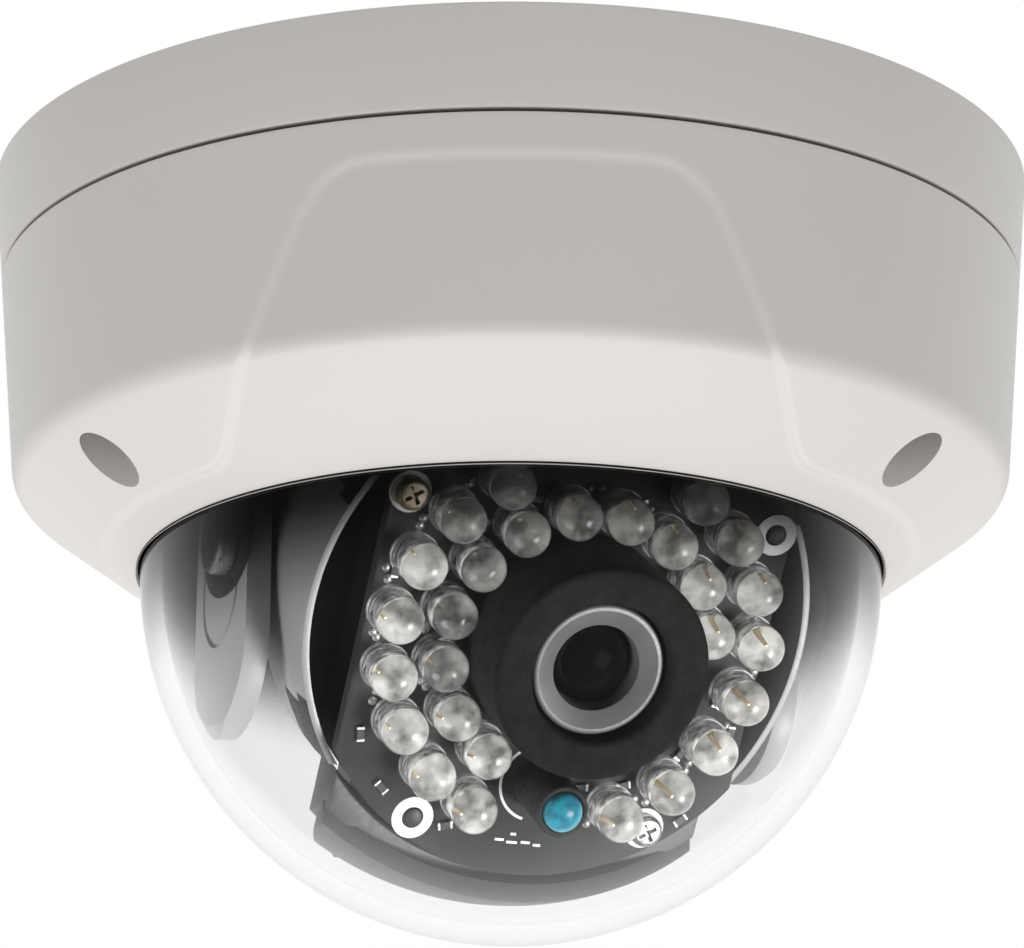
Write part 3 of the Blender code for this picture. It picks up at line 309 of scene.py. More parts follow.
def ramp(tree, source, low, high, start=0.35, end=0.65):
    colours = addNode(tree, "ShaderNodeValToRGB")
    tree.links.new(source, colours.inputs["Fac"])
    first, last = colours.color_ramp.elements
    first.position, last.position = start, end
    first.color, last.color = (*low, 1), (*high, 1)
    return colours.outputs["Color"]


def spread(tree, source, low, high):
    span = addNode(tree, "ShaderNodeMapRange")
    tree.links.new(source, span.inputs["Value"])
    span.inputs["From Min"].default_value = finishing["grainLow"]
    span.inputs["From Max"].default_value = finishing["grainHigh"]
    span.inputs["To Min"].default_value = low
    span.inputs["To Max"].default_value = high
    return span.outputs["Result"]


def bumps(tree, shader, source, height, strength=1.0):
    bump = addNode(tree, "ShaderNodeBump")
    bump.inputs["Distance"].default_value = height * mm
    bump.inputs["Strength"].default_value = strength
    tree.links.new(source, bump.inputs["Height"])
    tree.links.new(bump.outputs["Normal"], shader.inputs["Normal"])


def surface(name, low, high, patch, gloss, grainScale, grainHeight, metal=0.0, coat=0.0, specular=0.5):
    # patch: size of the colour drift, gloss: the range of roughness
    finish, tree, shader = newFinish(name)
    tree.links.new(ramp(tree, grain(tree, patch), low, high), shader.inputs["Base Color"])
    fine = grain(tree, grainScale, 2.0)
    tree.links.new(spread(tree, fine, *gloss), shader.inputs["Roughness"])
    shader.inputs["Metallic"].default_value = metal
    shader.inputs["Coat Weight"].default_value = coat
    shader.inputs["Coat Roughness"].default_value = finishing["coatRoughness"]
    shader.inputs["Specular IOR Level"].default_value = specular
    bumps(tree, shader, fine, grainHeight)
    return finish


def clearFinish(name, tint, index, gloss, patch, passTint, specular=0.5, rimShade=None, coat=0.0):
    # glass for the eye, and a clear way for the lamps
    finish, tree, shader = newFinish(name)
    shader.inputs["Base Color"].default_value = (*tint, 1)
    if rimShade:  # painted shade: a dark band in the glass tint under the rim, fading out lower down, for the shade under the cover's lip
        spot = addNode(tree, "ShaderNodeTexCoord")
        parts = addNode(tree, "ShaderNodeSeparateXYZ")
        fade = addNode(tree, "ShaderNodeMapRange", interpolation_type="SMOOTHSTEP")
        fade.inputs["From Min"].default_value = rimShade["top"] * mm
        fade.inputs["From Max"].default_value = rimShade["end"] * mm
        tree.links.new(spot.outputs["Object"], parts.inputs[0])
        tree.links.new(parts.outputs["Z"], fade.inputs["Value"])
        tinted = ramp(tree, fade.outputs["Result"], rimShade["dark"], tint, 0.0, 1.0)
        tree.links.new(tinted, shader.inputs["Base Color"])
    shader.inputs["Specular IOR Level"].default_value = specular
    shader.inputs["Transmission Weight"].default_value = 1.0
    shader.inputs["Coat Weight"].default_value = coat
    shader.inputs["Coat Roughness"].default_value = finishing["resinCoatRoughness"]
    shader.inputs["IOR"].default_value = index
    tree.links.new(spread(tree, grain(tree, patch), *gloss), shader.inputs["Roughness"])
    path = addNode(tree, "ShaderNodeLightPath")
    clearWay = addNode(tree, "ShaderNodeBsdfTransparent")
    clearWay.inputs["Color"].default_value = (*passTint, 1)
    pick = addNode(tree, "ShaderNodeMixShader")
    tree.links.new(path.outputs["Is Shadow Ray"], pick.inputs[0])
    tree.links.new(shader.outputs["BSDF"], pick.inputs[1])
    tree.links.new(clearWay.outputs["BSDF"], pick.inputs[2])
    tree.links.new(pick.outputs["Shader"], tree.nodes["Material Output"].inputs["Surface"])
    return finish


paint = surface("whitePaint", (0.655, 0.632, 0.608), (0.685, 0.662, 0.638), 9, (0.34, 0.44), 1500, 0.012)
# painted shade: a darker grey for the inside of the screw wells, for the shade of their depth
wellShadePaint = surface("wellPaintedShade", (0.52, 0.50, 0.485), (0.58, 0.56, 0.54), 60, (0.5, 0.6), 1200, 0.012)
# black inside paint, partly a painted shade for the dark inside of the cover
insideBlackAndShade = surface("blackInsideAndShade", (0.006, 0.006, 0.006), (0.011, 0.011, 0.011),
                      60, (0.6, 0.8), 900, 0.02)
blackPlastic = surface("blackMoulding", (0.010, 0.010, 0.010), (0.016, 0.016, 0.017),
                       40, (0.42, 0.58), 1800, 0.012)
cheekPlastic = surface("cheekMoulding", (0.28, 0.28, 0.278), (0.31, 0.31, 0.308), 30, (0.3, 0.4), 1500, 0.004)
chinPlastic = surface("chinMoulding", (0.040, 0.040, 0.041), (0.055, 0.055, 0.056),
                      40, (0.38, 0.5), 1800, 0.012)
armPlastic = surface("armMoulding", (0.34, 0.34, 0.337), (0.38, 0.38, 0.377), 30, (0.4, 0.5), 1500, 0.012)
foam = surface("blackFoam", (0.004, 0.004, 0.004), (0.009, 0.009, 0.009),
               500, (0.75, 0.95), 3600, 0.03, specular=0.2)
rubber = surface("blackRubber", (0.008, 0.008, 0.008), (0.014, 0.014, 0.014),
                 80, (0.6, 0.8), 1100, 0.02, specular=0.35)
boardMask = surface("blackBoardMask", (0.028, 0.028, 0.029), (0.040, 0.040, 0.040),
                    160, (0.55, 0.7), 1500, 0.008, specular=0.2)
greenBoard = surface("greenBoardMask", (0.006, 0.065, 0.025), (0.010, 0.095, 0.036),
                     120, (0.3, 0.42), 1500, 0.008)
steel = surface("screwSteel", (0.52, 0.51, 0.50), (0.62, 0.61, 0.60),
                260, (0.24, 0.36), 1800, 0.004, metal=1.0)
clampMetal = surface("castGrey", (0.20, 0.20, 0.205), (0.26, 0.26, 0.265),
                     90, (0.36, 0.5), 1200, 0.01, metal=0.7)
lensMetal = surface("lensRimGrey", (0.115, 0.115, 0.118), (0.140, 0.140, 0.143),
                    200, (0.36, 0.46), 1800, 0.004, metal=0.2)
lensBlack = surface("lensBlack", (0.004, 0.004, 0.004), (0.007, 0.007, 0.007), 200, (0.3, 0.42), 1800, 0.004)
whiteInk = surface("whiteInk", (0.80, 0.80, 0.79), (0.88, 0.88, 0.87), 700, (0.45, 0.6), 1500, 0.006)
tin = surface("solderTin", (0.55, 0.55, 0.54), (0.68, 0.68, 0.66), 600, (0.22, 0.36), 1500, 0.006, metal=0.9)
chipBlack = surface("chipBlack", (0.012, 0.012, 0.012), (0.022, 0.022, 0.022), 400, (0.4, 0.55), 2000, 0.006)
# painted glints: the cup's colour runs in small patches from dark grey to white, for the mottled reflections
# of its facets
cupSilverGlints = surface("ledCupSilver", (0.20, 0.20, 0.195), (1.0, 0.99, 0.96),
                    1100, (0.12, 0.26), 1800, 0.003, metal=0.2)
brass = surface("brassInsert", (0.40, 0.33, 0.22), (0.50, 0.42, 0.30),
                400, (0.3, 0.42), 1600, 0.004, metal=0.8)
lensGlass = surface("lensGlass", (0.002, 0.002, 0.003), (0.004, 0.003, 0.004),
                    300, (0.03, 0.06), 2000, 0.001, specular=0.2)
blueResin = surface("blueResin", (0.012, 0.16, 0.24), (0.02, 0.30, 0.40),
                    900, (0.08, 0.16), 1500, 0.004, coat=1.0)
# the dome's tint holds a painted shade: dark under the rim, fading out lower down
clearDome = clearFinish("clearDome", (0.985, 0.99, 0.99), 1.49, (0.0, 0.012), 300, (0.92, 0.92, 0.92), 0.25,
                        {"top": -44.0, "end": -57.0, "dark": (0.05, 0.05, 0.05)})
clearLed = clearFinish("clearLed", (0.97, 0.975, 0.98), 1.50, (0.01, 0.05), 900, (0.95, 0.95, 0.95), coat=1.0)
print("finishes ready")


# cover

cover = {
    "tongueOuter": 51.37, "tongueInner": 48.97, "tongueTop": -8.6, "top": -11.4,
    "bodyRadius": 55.497, "shoulderRadius": 52.948, "shoulderHeight": -33.9, "shoulderRound": 3.0,
    "openingRadius": 39.7, "openingHeight": -43.74, "lipRound": 0.2, "edgeRound": 0.25,
    "wall": 2.2, "tongueFoot": 3.0, "skinSlack": 0.02, "cutterLow": -80, "cutterHigh": 20,
    "ledgeRadius": 43.0, "frontSweep": 104.0, "frontSteps": 300, "restSteps": 190, "rowStep": 0.36,
    "recessDepth": 0.5, "recessEdge": 1.1, "bandRadius": 43.05, "bandBlend": 2.0,
    "screwCircle": 47.57, "screwAngles": (-150, -30, 90), "wellRadius": 3.1, "wellTop": -27.896,
    "bossRadius": 4.6, "bossDrop": 0.3, "limitRise": 2.4, "holeRadius": 2.3,
    "lugCircle": 44.6, "lugAngles": (-90, 30, 150), "lugRadius": 2.2, "lugTop": -35.15,
    # half width of the front recess at each height
    "apron": ((-15.7, 14.2), (-15.95, 16.0), (-16.6, 17.5), (-17.5, 18.7), (-18.5, 19.7), (-21.0, 21.2),
              (-25.4, 23.1), (-29.7, 24.9), (-33.0, 26.3), (-37.0, 27.7), (-40.5, 28.9), (-46.0, 30.8)),
}


def coverSkin(inset, top, endRadius, bendSteps=12):
    # wall, rounded shoulder and cone, moved inwards by inset
    shoulder = Vector((cover["shoulderRadius"], cover["shoulderHeight"]))
    wall = (Vector((cover["bodyRadius"], 0)) - shoulder).normalized()
    cone = (Vector((cover["openingRadius"], cover["openingHeight"])) - shoulder).normalized()
    half = wall.angle(cone) / 2
    corner = shoulder + (wall + cone).normalized() * (inset / math.sin(half))
    start = corner + wall * ((top - corner.y) / wall.y)
    end = corner + cone * ((endRadius - corner.x) / cone.x)
    bend = roundCorner(start, corner, end, cover["shoulderRound"] - inset, bendSteps)
    return [tuple(start)] + bend + [tuple(end)]


def evenRows(line, step):
    rows = [line[0]]
    for here, there in zip(line, line[1:]):
        span = (Vector(there) - Vector(here)).length
        count = max(1, round(span / step))
        for number in range(1, count + 1):
            rows.append(tuple(Vector(here).lerp(Vector(there), number / count)))
    return rows


def apronGap(x, z, outline):
    # distance to the edge of the front recess, positive inside
    spot = Vector((abs(x), z))
    best, inside = 1e9, False
    for (x0, z0), (x1, z1) in zip(outline, outline[1:]):
        a, b = Vector((x0, z0)), Vector((x1, z1))
        along = b - a
        share = max(0, min(1, (spot - a).dot(along) / along.length_squared))
        best = min(best, (a + along * share - spot).length)
        if (z0 >= z) != (z1 >= z):
            inside = spot.x < x0 + (x1 - x0) * (z - z0) / (z1 - z0)
    return best if inside else -best


def makeCover():
    foot = cover["top"] - cover["tongueFoot"]
    inner = coverSkin(cover["wall"], foot, cover["ledgeRadius"], 6)
    skin = coverSkin(0, cover["top"], cover["openingRadius"])
    lip = roundCorner(skin[-2], skin[-1], (cover["openingRadius"], inner[-1][1]), cover["lipRound"], 4)
    edge = roundCorner((cover["tongueOuter"], cover["top"]), skin[0], skin[1], cover["edgeRound"], 3)
    outer = evenRows([edge[-1]] + skin[1:-1] + [lip[0]], cover["rowStep"])
    line = [(cover["tongueOuter"], cover["tongueTop"]), (cover["tongueOuter"], cover["top"])]
    line += edge[:-1] + outer + lip[1:] + [(cover["openingRadius"], inner[-1][1])] + inner[::-1]
    line += [(cover["tongueInner"], foot), (cover["tongueInner"], cover["tongueTop"])]
    half = cover["frontSweep"] / 2
    front = drawLine("coverFront", line, True)
    putAt(front, turnBy(-90 - half))
    rest = copyTo(front, "coverRest", turnBy(2 * half))
    spinLine(front, cover["frontSteps"], cover["frontSweep"])
    spinLine(rest, cover["restSteps"], 360 - cover["frontSweep"])
    shell = joinUp("cameraCover", [front, rest])
    cleanShell(shell)
    pressRecess(shell, skin, outer + lip[1:3])
    return shell


def pressRecess(shell, skin, outer):
    # the front recess and the band round the opening, pressed into the outer skin
    table = cover["apron"]
    outline = [(0, table[0][0])] + [(width, height) for height, width in table]
    wallNormal = Vector((-(skin[1][1] - skin[0][1]), skin[1][0] - skin[0][0])).normalized()
    coneNormal = Vector((-(skin[-1][1] - skin[-2][1]), skin[-1][0] - skin[-2][0])).normalized()
    bendTop, bendEnd = skin[1][1], skin[-2][1]
    outerRows = {}
    for radius, height in outer:
        outerRows.setdefault(round(height, 4), []).append(radius)
    for vertex in shell.data.vertices:
        x, y, z = vertex.co / mm
        radius = math.hypot(x, y)
        near = (round(z + nudge, 4) for nudge in (0, -0.0001, 0.0001))
        rows = next((outerRows[key] for key in near if key in outerRows), None)
        if not rows or min(abs(radius - row) for row in rows) > cover["skinSlack"]:
            continue
        band = cover["bandRadius"] - radius
        gap = band
        if y < 0:
            apron = apronGap(x, z, outline)
            blend = max(cover["bandBlend"] - abs(band - apron), 0) / cover["bandBlend"]
            gap = max(band, apron) + blend * blend * cover["bandBlend"] / 4
        share = max(0, min(1, gap / cover["recessEdge"] + 0.5))
        depth = cover["recessDepth"] * share * share * (3 - 2 * share)
        if depth <= 0:
            continue
        down = max(0, min(1, (bendTop - z) / (bendTop - bendEnd)))
        normal = wallNormal.lerp(coneNormal, down).normalized()
        vertex.co -= Vector((normal.x * x / radius, normal.x * y / radius, normal.y)) * depth * mm


def makeBosses(shell):
    # screw and lug bosses end inside the wall and the tongue that they stand on
    middle = (cover["tongueOuter"] + cover["tongueInner"]) / 2
    foot = cover["top"] - cover["tongueFoot"] / 2
    high, low = cover["tongueTop"] + cover["limitRise"], cover["cutterLow"]
    line = [(0, high), (middle, high), (middle, foot)]
    line += coverSkin(cover["wall"] / 2, foot, cover["openingRadius"], 6)
    line.append((0, line[-1][1]))
    for angle in cover["screwAngles"]:
        at = polar(cover["screwCircle"], angle)
        boss = rod("boss", cover["bossRadius"], low, cover["tongueTop"] - cover["bossDrop"], at)
        weldOn(shell, combine(boss, [lathe("bossLimit", line, 96, closed=False)], "INTERSECT"))
        cutOut(shell, rod("well", cover["wellRadius"], low, cover["wellTop"], at, 64),
               rod("way", cover["holeRadius"], low, cover["cutterHigh"], at, 32))
    for angle in cover["lugAngles"]:
        boss = rod("lug", cover["lugRadius"], low, cover["lugTop"], polar(cover["lugCircle"], angle))
        weldOn(shell, combine(boss, [lathe("lugLimit", line, 96, closed=False)], "INTERSECT"))


def paintInsideAndWellShade(shell):
    # the inside is painted black, partly as real black paint and partly as painted shade for the dark inside
    # of the cover, so that the dome stays dark; the screw wells get a darker grey, a painted shade for their
    # depth
    slack = 0.05
    wells = [polar(cover["screwCircle"], angle) for angle in cover["screwAngles"]]
    for face in shell.data.polygons:
        x, y, z = face.center / mm
        radius = math.hypot(x, y)
        outward = face.normal.x * x / radius + face.normal.y * y / radius
        below = coverWallAt(z) - radius
        nearWell = any(math.hypot(x - px, y - py) < cover["wellRadius"] + slack for px, py in wells)
        inWell = z < cover["wellTop"] + slack and face.normal.z > -0.5 and below > slack
        inside = below > cover["wall"] / 2 and (outward < 0.5 or face.normal.z > 0.1)
        if nearWell and inWell:
            face.material_index = 2
        elif inside and not nearWell:
            face.material_index = 1


def coverWallAt(z):
    # outer radius of the plain cover at a height
    slope = (cover["bodyRadius"] - cover["shoulderRadius"]) / -cover["shoulderHeight"]
    wall = cover["bodyRadius"] + z * slope
    run = cover["shoulderRadius"] - cover["openingRadius"]
    fall = cover["shoulderHeight"] - cover["openingHeight"]
    return min(wall, cover["shoulderRadius"] + (z - cover["shoulderHeight"]) * run / fall)


coverShell = makeCover()
makeBosses(coverShell)
smoothOver(coverShell, 32)
dress(coverShell, paint, insideBlackAndShade, wellShadePaint)
paintInsideAndWellShade(coverShell)
mount(coverShell, "cover", ["cover_shell"])
print("cover ready", len(coverShell.data.polygons), "faces")


# base

base = {
    "radius": 55.497, "skirtRadius": 54.67, "depth": -11.0, "skirtInner": 51.77, "stepInner": 48.57,
    "sealStep": -7.0, "plate": -3.0, "spigotRadius": 20.0, "spigotBore": 17.0, "spigotEnd": -16.0,
    "topRound": 0.4, "footRound": 0.35, "stepRound": 0.3, "rootRound": 0.8, "spigotRound": 0.4, "steps": 256,
    "bossRadius": 4.6, "threadRadius": 2.3, "screwCircle": 47.57, "screwAngles": (-150, -30, 90),
    "standoffCircle": 36.0, "standoffAngles": (-90, 10, 170), "standoffRadius": 2.6, "standoffEnd": -5.2,
    "ceilingCircle": 43.97, "ceilingAngles": (-90, 30, 150), "ceilingRadius": 2.4,
    "cableAt": 32.97, "cableRadius": 6.5, "outletWidth": 10.0, "outletDepth": -6.2, "outletAngle": 45.0,
    "outletWall": 2.9, "outletReach": 60, "bossLap": 0.3, "threadEnd": -1.5, "cutterReach": 20,
}


def makeBase():
    line = softLine([
        (0, 0), (base["radius"], 0, base["topRound"]),
        (base["skirtRadius"], base["depth"], base["footRound"]),
        (base["skirtInner"], base["depth"], base["stepRound"]), (base["skirtInner"], base["sealStep"]),
        (base["stepInner"], base["sealStep"], base["stepRound"]),
        (base["stepInner"], base["plate"], base["rootRound"]),
        (base["spigotRadius"], base["plate"], base["rootRound"]),
        (base["spigotRadius"], base["spigotEnd"], base["spigotRound"]),
        (base["spigotBore"], base["spigotEnd"], base["spigotRound"]),
        (base["spigotBore"], base["plate"], base["rootRound"]), (0, base["plate"]),
    ])
    reach, bossEnd = base["cutterReach"], base["sealStep"] + base["bossLap"]
    plate = lathe("mountingBase", line, base["steps"], closed=False)
    for angle in base["screwAngles"]:
        at = polar(base["screwCircle"], angle)
        weldOn(plate, rod("boss", base["bossRadius"], bossEnd, base["plate"] / 2, at))
        cutOut(plate, rod("thread", base["threadRadius"], base["depth"], base["threadEnd"], at))
    for angle in base["standoffAngles"]:
        at = polar(base["standoffCircle"], angle)
        weldOn(plate, rod("standoff", base["standoffRadius"], base["standoffEnd"], base["plate"] / 2, at))
    for angle in base["ceilingAngles"]:
        at = polar(base["ceilingCircle"], angle)
        cutOut(plate, rod("ceilingHole", base["ceilingRadius"], -reach, reach, at))
    cutOut(plate, rod("cableHole", base["cableRadius"], -reach, reach, (0, base["cableAt"]), 64))
    half = base["outletWidth"] / 2
    outlet = block("outlet", (base["stepInner"] - base["outletWall"], -half, base["outletDepth"]),
                   (base["outletReach"], half, reach))
    cutOut(plate, putAt(outlet, turnBy(base["outletAngle"])))
    return smoothOver(plate, 32)


mountingBase = dress(makeBase(), paint)
mount(mountingBase, "base", ["mounting_base"])
print("base ready", len(mountingBase.data.polygons), "faces")


# clear dome

dome = {
    "radius": 39.3, "inner": 37.0, "middle": -43.1, "flangeRadius": 42.0, "flangeLow": -36.95,
    "flangeHigh": -35.15, "flangeRound": 0.3, "arcSteps": 44, "steps": 160,
}


def makeDome():
    outer = quarterArc(dome["radius"], -dome["radius"], dome["middle"], dome["arcSteps"])
    inner = quarterArc(dome["inner"], -dome["inner"], dome["middle"], dome["arcSteps"])
    rounding = dome["flangeRound"]
    rim = softLine([
        inner[-1], (dome["inner"], dome["flangeHigh"], rounding),
        (dome["flangeRadius"], dome["flangeHigh"], rounding),
        (dome["flangeRadius"], dome["flangeLow"], rounding),
        (dome["radius"], dome["flangeLow"]), outer[-1]])
    bubble = lathe("clearBubble", inner[:-1] + rim + outer[-2::-1], dome["steps"], closed=False)
    return smoothOver(bubble, 30)


clearBubble = dress(makeDome(), clearDome)
mount(clearBubble, "cover", ["dome_bubble"])
print("dome ready", len(clearBubble.data.polygons), "faces")


# seals and clamps of the base and the cover

rings = {
    # node: (bore, radius, low, high, rounding)
    "base_seal_ring": (49.97, 51.07, -8.3, -7.3, 0.3),
    "dome_gasket": (40.6, 42.0, -38.2523, -37.2523, 0.25),
    "dome_retaining_ring": (38.2, 42.0, -34.8523, -32.8523, 0.3),
    "pan_clamp_ring": (14.0, 24.0, -18.3, -16.3, 0.35),
}
lugs = {
    "circle": 44.6, "radius": 3.1, "screwRadius": 1.8, "screwTop": -31.4523, "screwLap": 1.0, "recess": 1.1,
    "angles": (-90, 30, 150),
}
clampHeads = {
    "circle": 18.5, "radius": 1.6, "low": -19.3, "high": -17.3, "recess": 1.0, "recessDepth": 0.6,
    "angles": (-90, 30, 150),
}


def softRing(name, bore, radius, low, high, rounding, steps=128):
    corners = ((bore, low), (radius, low), (radius, high), (bore, high))
    line = softLine([(*corner, rounding) for corner in corners])
    return smoothOver(lathe(name, line, steps), 40)


def crossCut(at, top, reach, width=0.55, depth=0.8, turn=20.0):
    # two crossing bars that press a cross recess into a screw head
    bars = []
    for angle in (turn, turn + 90):
        bar = block("bar", (-reach, -width / 2, top - depth), (reach, width / 2, top + depth))
        bars.append(putAt(bar, shiftBy(*at) @ turnBy(angle)))
    return bars


baseSeal = dress(softRing("baseSeal", *rings["base_seal_ring"], 160), rubber)
mount(baseSeal, "base", ["base_seal_ring"])
domeGasket = dress(softRing("domeGasket", *rings["dome_gasket"], 160), rubber)
mount(domeGasket, "cover", ["dome_gasket"])

domeClamp = softRing("domeClamp", *rings["dome_retaining_ring"], 160)
clampLow, clampHigh = rings["dome_retaining_ring"][2:4]
for angle in lugs["angles"]:
    at = polar(lugs["circle"], angle)
    weldOn(domeClamp, rod("lug", lugs["radius"], clampLow, clampHigh, at),
           rod("lugScrew", lugs["screwRadius"], clampHigh - lugs["screwLap"], lugs["screwTop"], at))
    cutOut(domeClamp, *crossCut(at, lugs["screwTop"], lugs["recess"]))
dress(smoothOver(domeClamp, 30), clampMetal)
mount(domeClamp, "cover", ["dome_retaining_ring"])

panClamp = softRing("panClamp", *rings["pan_clamp_ring"], 128)
for angle in clampHeads["angles"]:
    at = polar(clampHeads["circle"], angle)
    weldOn(panClamp, rod("head", clampHeads["radius"], clampHeads["low"], clampHeads["high"], at))
    cutOut(panClamp, *crossCut(at, clampHeads["low"], clampHeads["recess"], depth=clampHeads["recessDepth"]))
dress(smoothOver(panClamp, 30), blackPlastic)
mount(panClamp, "base", ["pan_clamp_ring"])

grommet = {"at": 32.97, "bore": 3.3, "neck": 6.2, "lip": 8.3, "top": -0.3, "shelf": -3.3, "end": -5.1}
cableGrommet = lathe("cableGrommet", softLine([
    (grommet["bore"], grommet["top"], 0.4), (grommet["neck"], grommet["top"], 0.4),
    (grommet["neck"], grommet["shelf"]), (grommet["lip"], grommet["shelf"], 0.5),
    (grommet["lip"], grommet["end"], 0.7), (grommet["bore"], grommet["end"], 0.5)]), 72)
dress(smoothOver(cableGrommet, 40), rubber)
mount(cableGrommet, "base", ["cable_grommet"], shiftBy(y=grommet["at"]))
print("seals and clamps ready")

# cover screws, with a hex socket

coverScrew = {
    "circle": 47.57, "angles": (-150, -30, 90), "tip": -1.9, "shank": 1.9, "headRadius": 2.7,
    "headHigh": -28.197, "headLow": -31.197, "socket": 1.35, "socketDepth": 1.5,
    "threads": 18, "pitch": 0.7, "threadDepth": 0.3, "lead": 0.6, "neck": 0.2,
    "neckRound": 0.15, "headRound": 0.35,
}


def makeCoverScrew():
    shank, tip, pitch = coverScrew["shank"], coverScrew["tip"], coverScrew["pitch"]
    head, low = coverScrew["headRadius"], coverScrew["headLow"]
    line = [(0, tip), (shank - coverScrew["lead"], tip)]
    for turn in range(coverScrew["threads"]):
        high = tip - coverScrew["lead"] - turn * pitch
        line += [(shank, high), (shank - coverScrew["threadDepth"], high - pitch / 2)]
    line.append((shank - coverScrew["neck"], coverScrew["headHigh"]))
    line += softLine([line[-1], (head, coverScrew["headHigh"], coverScrew["neckRound"]),
                      (head, low, coverScrew["headRound"]), (0, low)])[1:]
    screw = lathe("coverScrew", line, 48, closed=False)
    depth = low + coverScrew["socketDepth"]
    return cutOut(screw, rod("socket", coverScrew["socket"], low - 1, depth, steps=6))


screwShape = dress(smoothOver(makeCoverScrew(), 30), steel)
for number, angle in enumerate(coverScrew["angles"], 1):
    x, y = polar(coverScrew["circle"], angle)
    screw = copyTo(screwShape, f"coverScrew{number}", shiftBy(x, y))
    mount(screw, "cover", [f"cover_screw_{number}"])
bpy.data.objects.remove(screwShape)

# pan bracket with its two arms

bracket = {
    "bore": 20.4, "radius": 35.5, "low": -16.0, "high": -13.5, "armInner": 28.5, "armOuter": 31.0,
    "armMiddle": 3.5, "armHalf": 9.0, "axis": -43.1, "ribReach": 34.0, "ribHalf": 1.0,
    "pivotWay": 2.0, "lockAt": -29.0, "lockWay": 1.8, "edge": 0.35,
    "armEnd": -53.6, "room": 36.2, "landHalf": 6.2, "landEnd": -47.0, "grooveWide": 0.7, "grooveDeep": 0.35,
    "washer": 5.4, "washerThick": 0.2, "washerWide": 1.5, "washerShift": 0.4,
    "washerGap": 0.03, "washerRound": 0.06, "plateRound": 0.3, "ribEnd": -24.0, "ribLap": 1.2,
    "slope": 26.6, "slopeTop": -18.0, "grooveDrop": 8.0, "darkAbove": -17.0,
}


def tongue(name, near, far, half, end, top):
    # flat plate across X with a round lower end
    plate = block(name, (near, bracket["armMiddle"] - half, end), (far, bracket["armMiddle"] + half, top))
    foot = rod("foot", half, near, far, steps=72)
    return weldOn(plate, putAt(foot, shiftBy(y=bracket["armMiddle"], z=end) @ turnBy(90, "Y")))


def domeRoom():
    # the space that the clear dome leaves for the arms
    line = quarterArc(bracket["room"], -bracket["room"], bracket["axis"], 24)
    return lathe("room", line + [(bracket["room"], 0), (0, 0)], 128, closed=False)


def makeBracket():
    rounding, armMiddle = bracket["plateRound"], bracket["armMiddle"]
    plate = lathe("panBracket", softLine([
        (bracket["bore"], bracket["low"], rounding), (bracket["radius"], bracket["low"], rounding),
        (bracket["radius"], bracket["high"], rounding), (bracket["bore"], bracket["high"], rounding)]), 128)
    middle = (bracket["low"] + bracket["high"]) / 2
    for side in (-1, 1):
        near, far = sorted((side * bracket["armInner"], side * bracket["armOuter"]))
        arm = tongue("arm", near, far, bracket["armHalf"], bracket["armEnd"], middle)
        combine(arm, [domeRoom()], "INTERSECT")
        softenEdges(arm, bracket["edge"], 2, 40)
        face = side * (bracket["armOuter"] - bracket["grooveDeep"])
        outside = sorted((face, face + 5 * side))
        landHalf, landEnd = bracket["landHalf"], bracket["landEnd"]
        groove = tongue("groove", *outside, landHalf, landEnd, middle - bracket["grooveDrop"])
        landHalf -= bracket["grooveWide"]
        cutOut(groove, tongue("land", outside[0] - 1, outside[1] + 1, landHalf, landEnd, middle))
        cutOut(arm, groove)
        ribRoot = bracket["armOuter"] - bracket["ribLap"]
        ribNear, ribFar = sorted((side * ribRoot, side * bracket["ribReach"]))
        rib = block("rib", (ribNear, armMiddle - bracket["ribHalf"], bracket["ribEnd"]),
                    (ribFar, armMiddle + bracket["ribHalf"], middle))
        slope = block("slope", (0, -20, -20), (20, 20, 0))
        turn = turnBy(-bracket["slope"] * side, "Y")
        corner = shiftBy(side * bracket["ribReach"], armMiddle, bracket["slopeTop"])
        putAt(slope, corner @ (turn if side > 0 else turn @ Matrix.Scale(-1, 4, (1, 0, 0))))
        cleanShell(slope)
        cutOut(rib, slope)
        weldOn(plate, arm, rib)
    pivot = rod("pivotWay", bracket["pivotWay"], *through)
    putAt(pivot, shiftBy(z=bracket["axis"]) @ turnBy(90, "Y"))
    cutOut(plate, pivot, rod("lockWay", bracket["lockWay"], through[0], 0, (0, bracket["lockAt"])))
    return smoothOver(plate, 30)


panBracket = dress(makeBracket(), armPlastic, blackPlastic)
for face in panBracket.data.polygons:
    if face.center.z > bracket["darkAbove"] * mm:
        face.material_index = 1
mount(panBracket, "pan_stage", ["pan_bracket"], panTurn)

# a thin black oval washer under each pivot screw; its black, widened oval also stands in for the shade of the
# pocket round the screw
for word, side in (("left", -1), ("right", 1)):
    near = bracket["armOuter"] + bracket["washerGap"]
    far = near + bracket["washerThick"]
    washer = softRing(f"{word}Washer", bracket["pivotWay"], bracket["washer"], near, far,
                      bracket["washerRound"], 72)
    dress(washer, blackPlastic)
    oval = shiftBy(y=bracket["washerShift"]) @ Matrix.Scale(bracket["washerWide"], 4, (0, 1, 0))
    mount(washer, "pan_stage", (), panPlace @ turnBy(90 * side, "Y") @ oval)

lockScrew = {
    "at": -29.0, "tip": -11.0, "tipRound": 0.3, "shank": 1.4, "seat": -16.3, "seatRound": 0.15, "head": 2.8,
    "top": -18.3, "topRound": 0.5, "recess": (1.9, 0.8, 0.9),
}


def makeScrew(name, screw, steps):
    # a shank and a round head with a cross recess: reach, width, depth and turn
    piece = lathe(name, softLine([
        (0, screw["tip"]), (screw["shank"], screw["tip"], screw["tipRound"]), (screw["shank"], screw["seat"]),
        (screw["head"], screw["seat"], screw["seatRound"]), (screw["head"], screw["top"], screw["topRound"]),
        (0, screw["top"])]), steps, closed=False)
    cutOut(piece, *crossCut((0, 0), screw["top"], *screw["recess"]))
    return smoothOver(piece, 30)


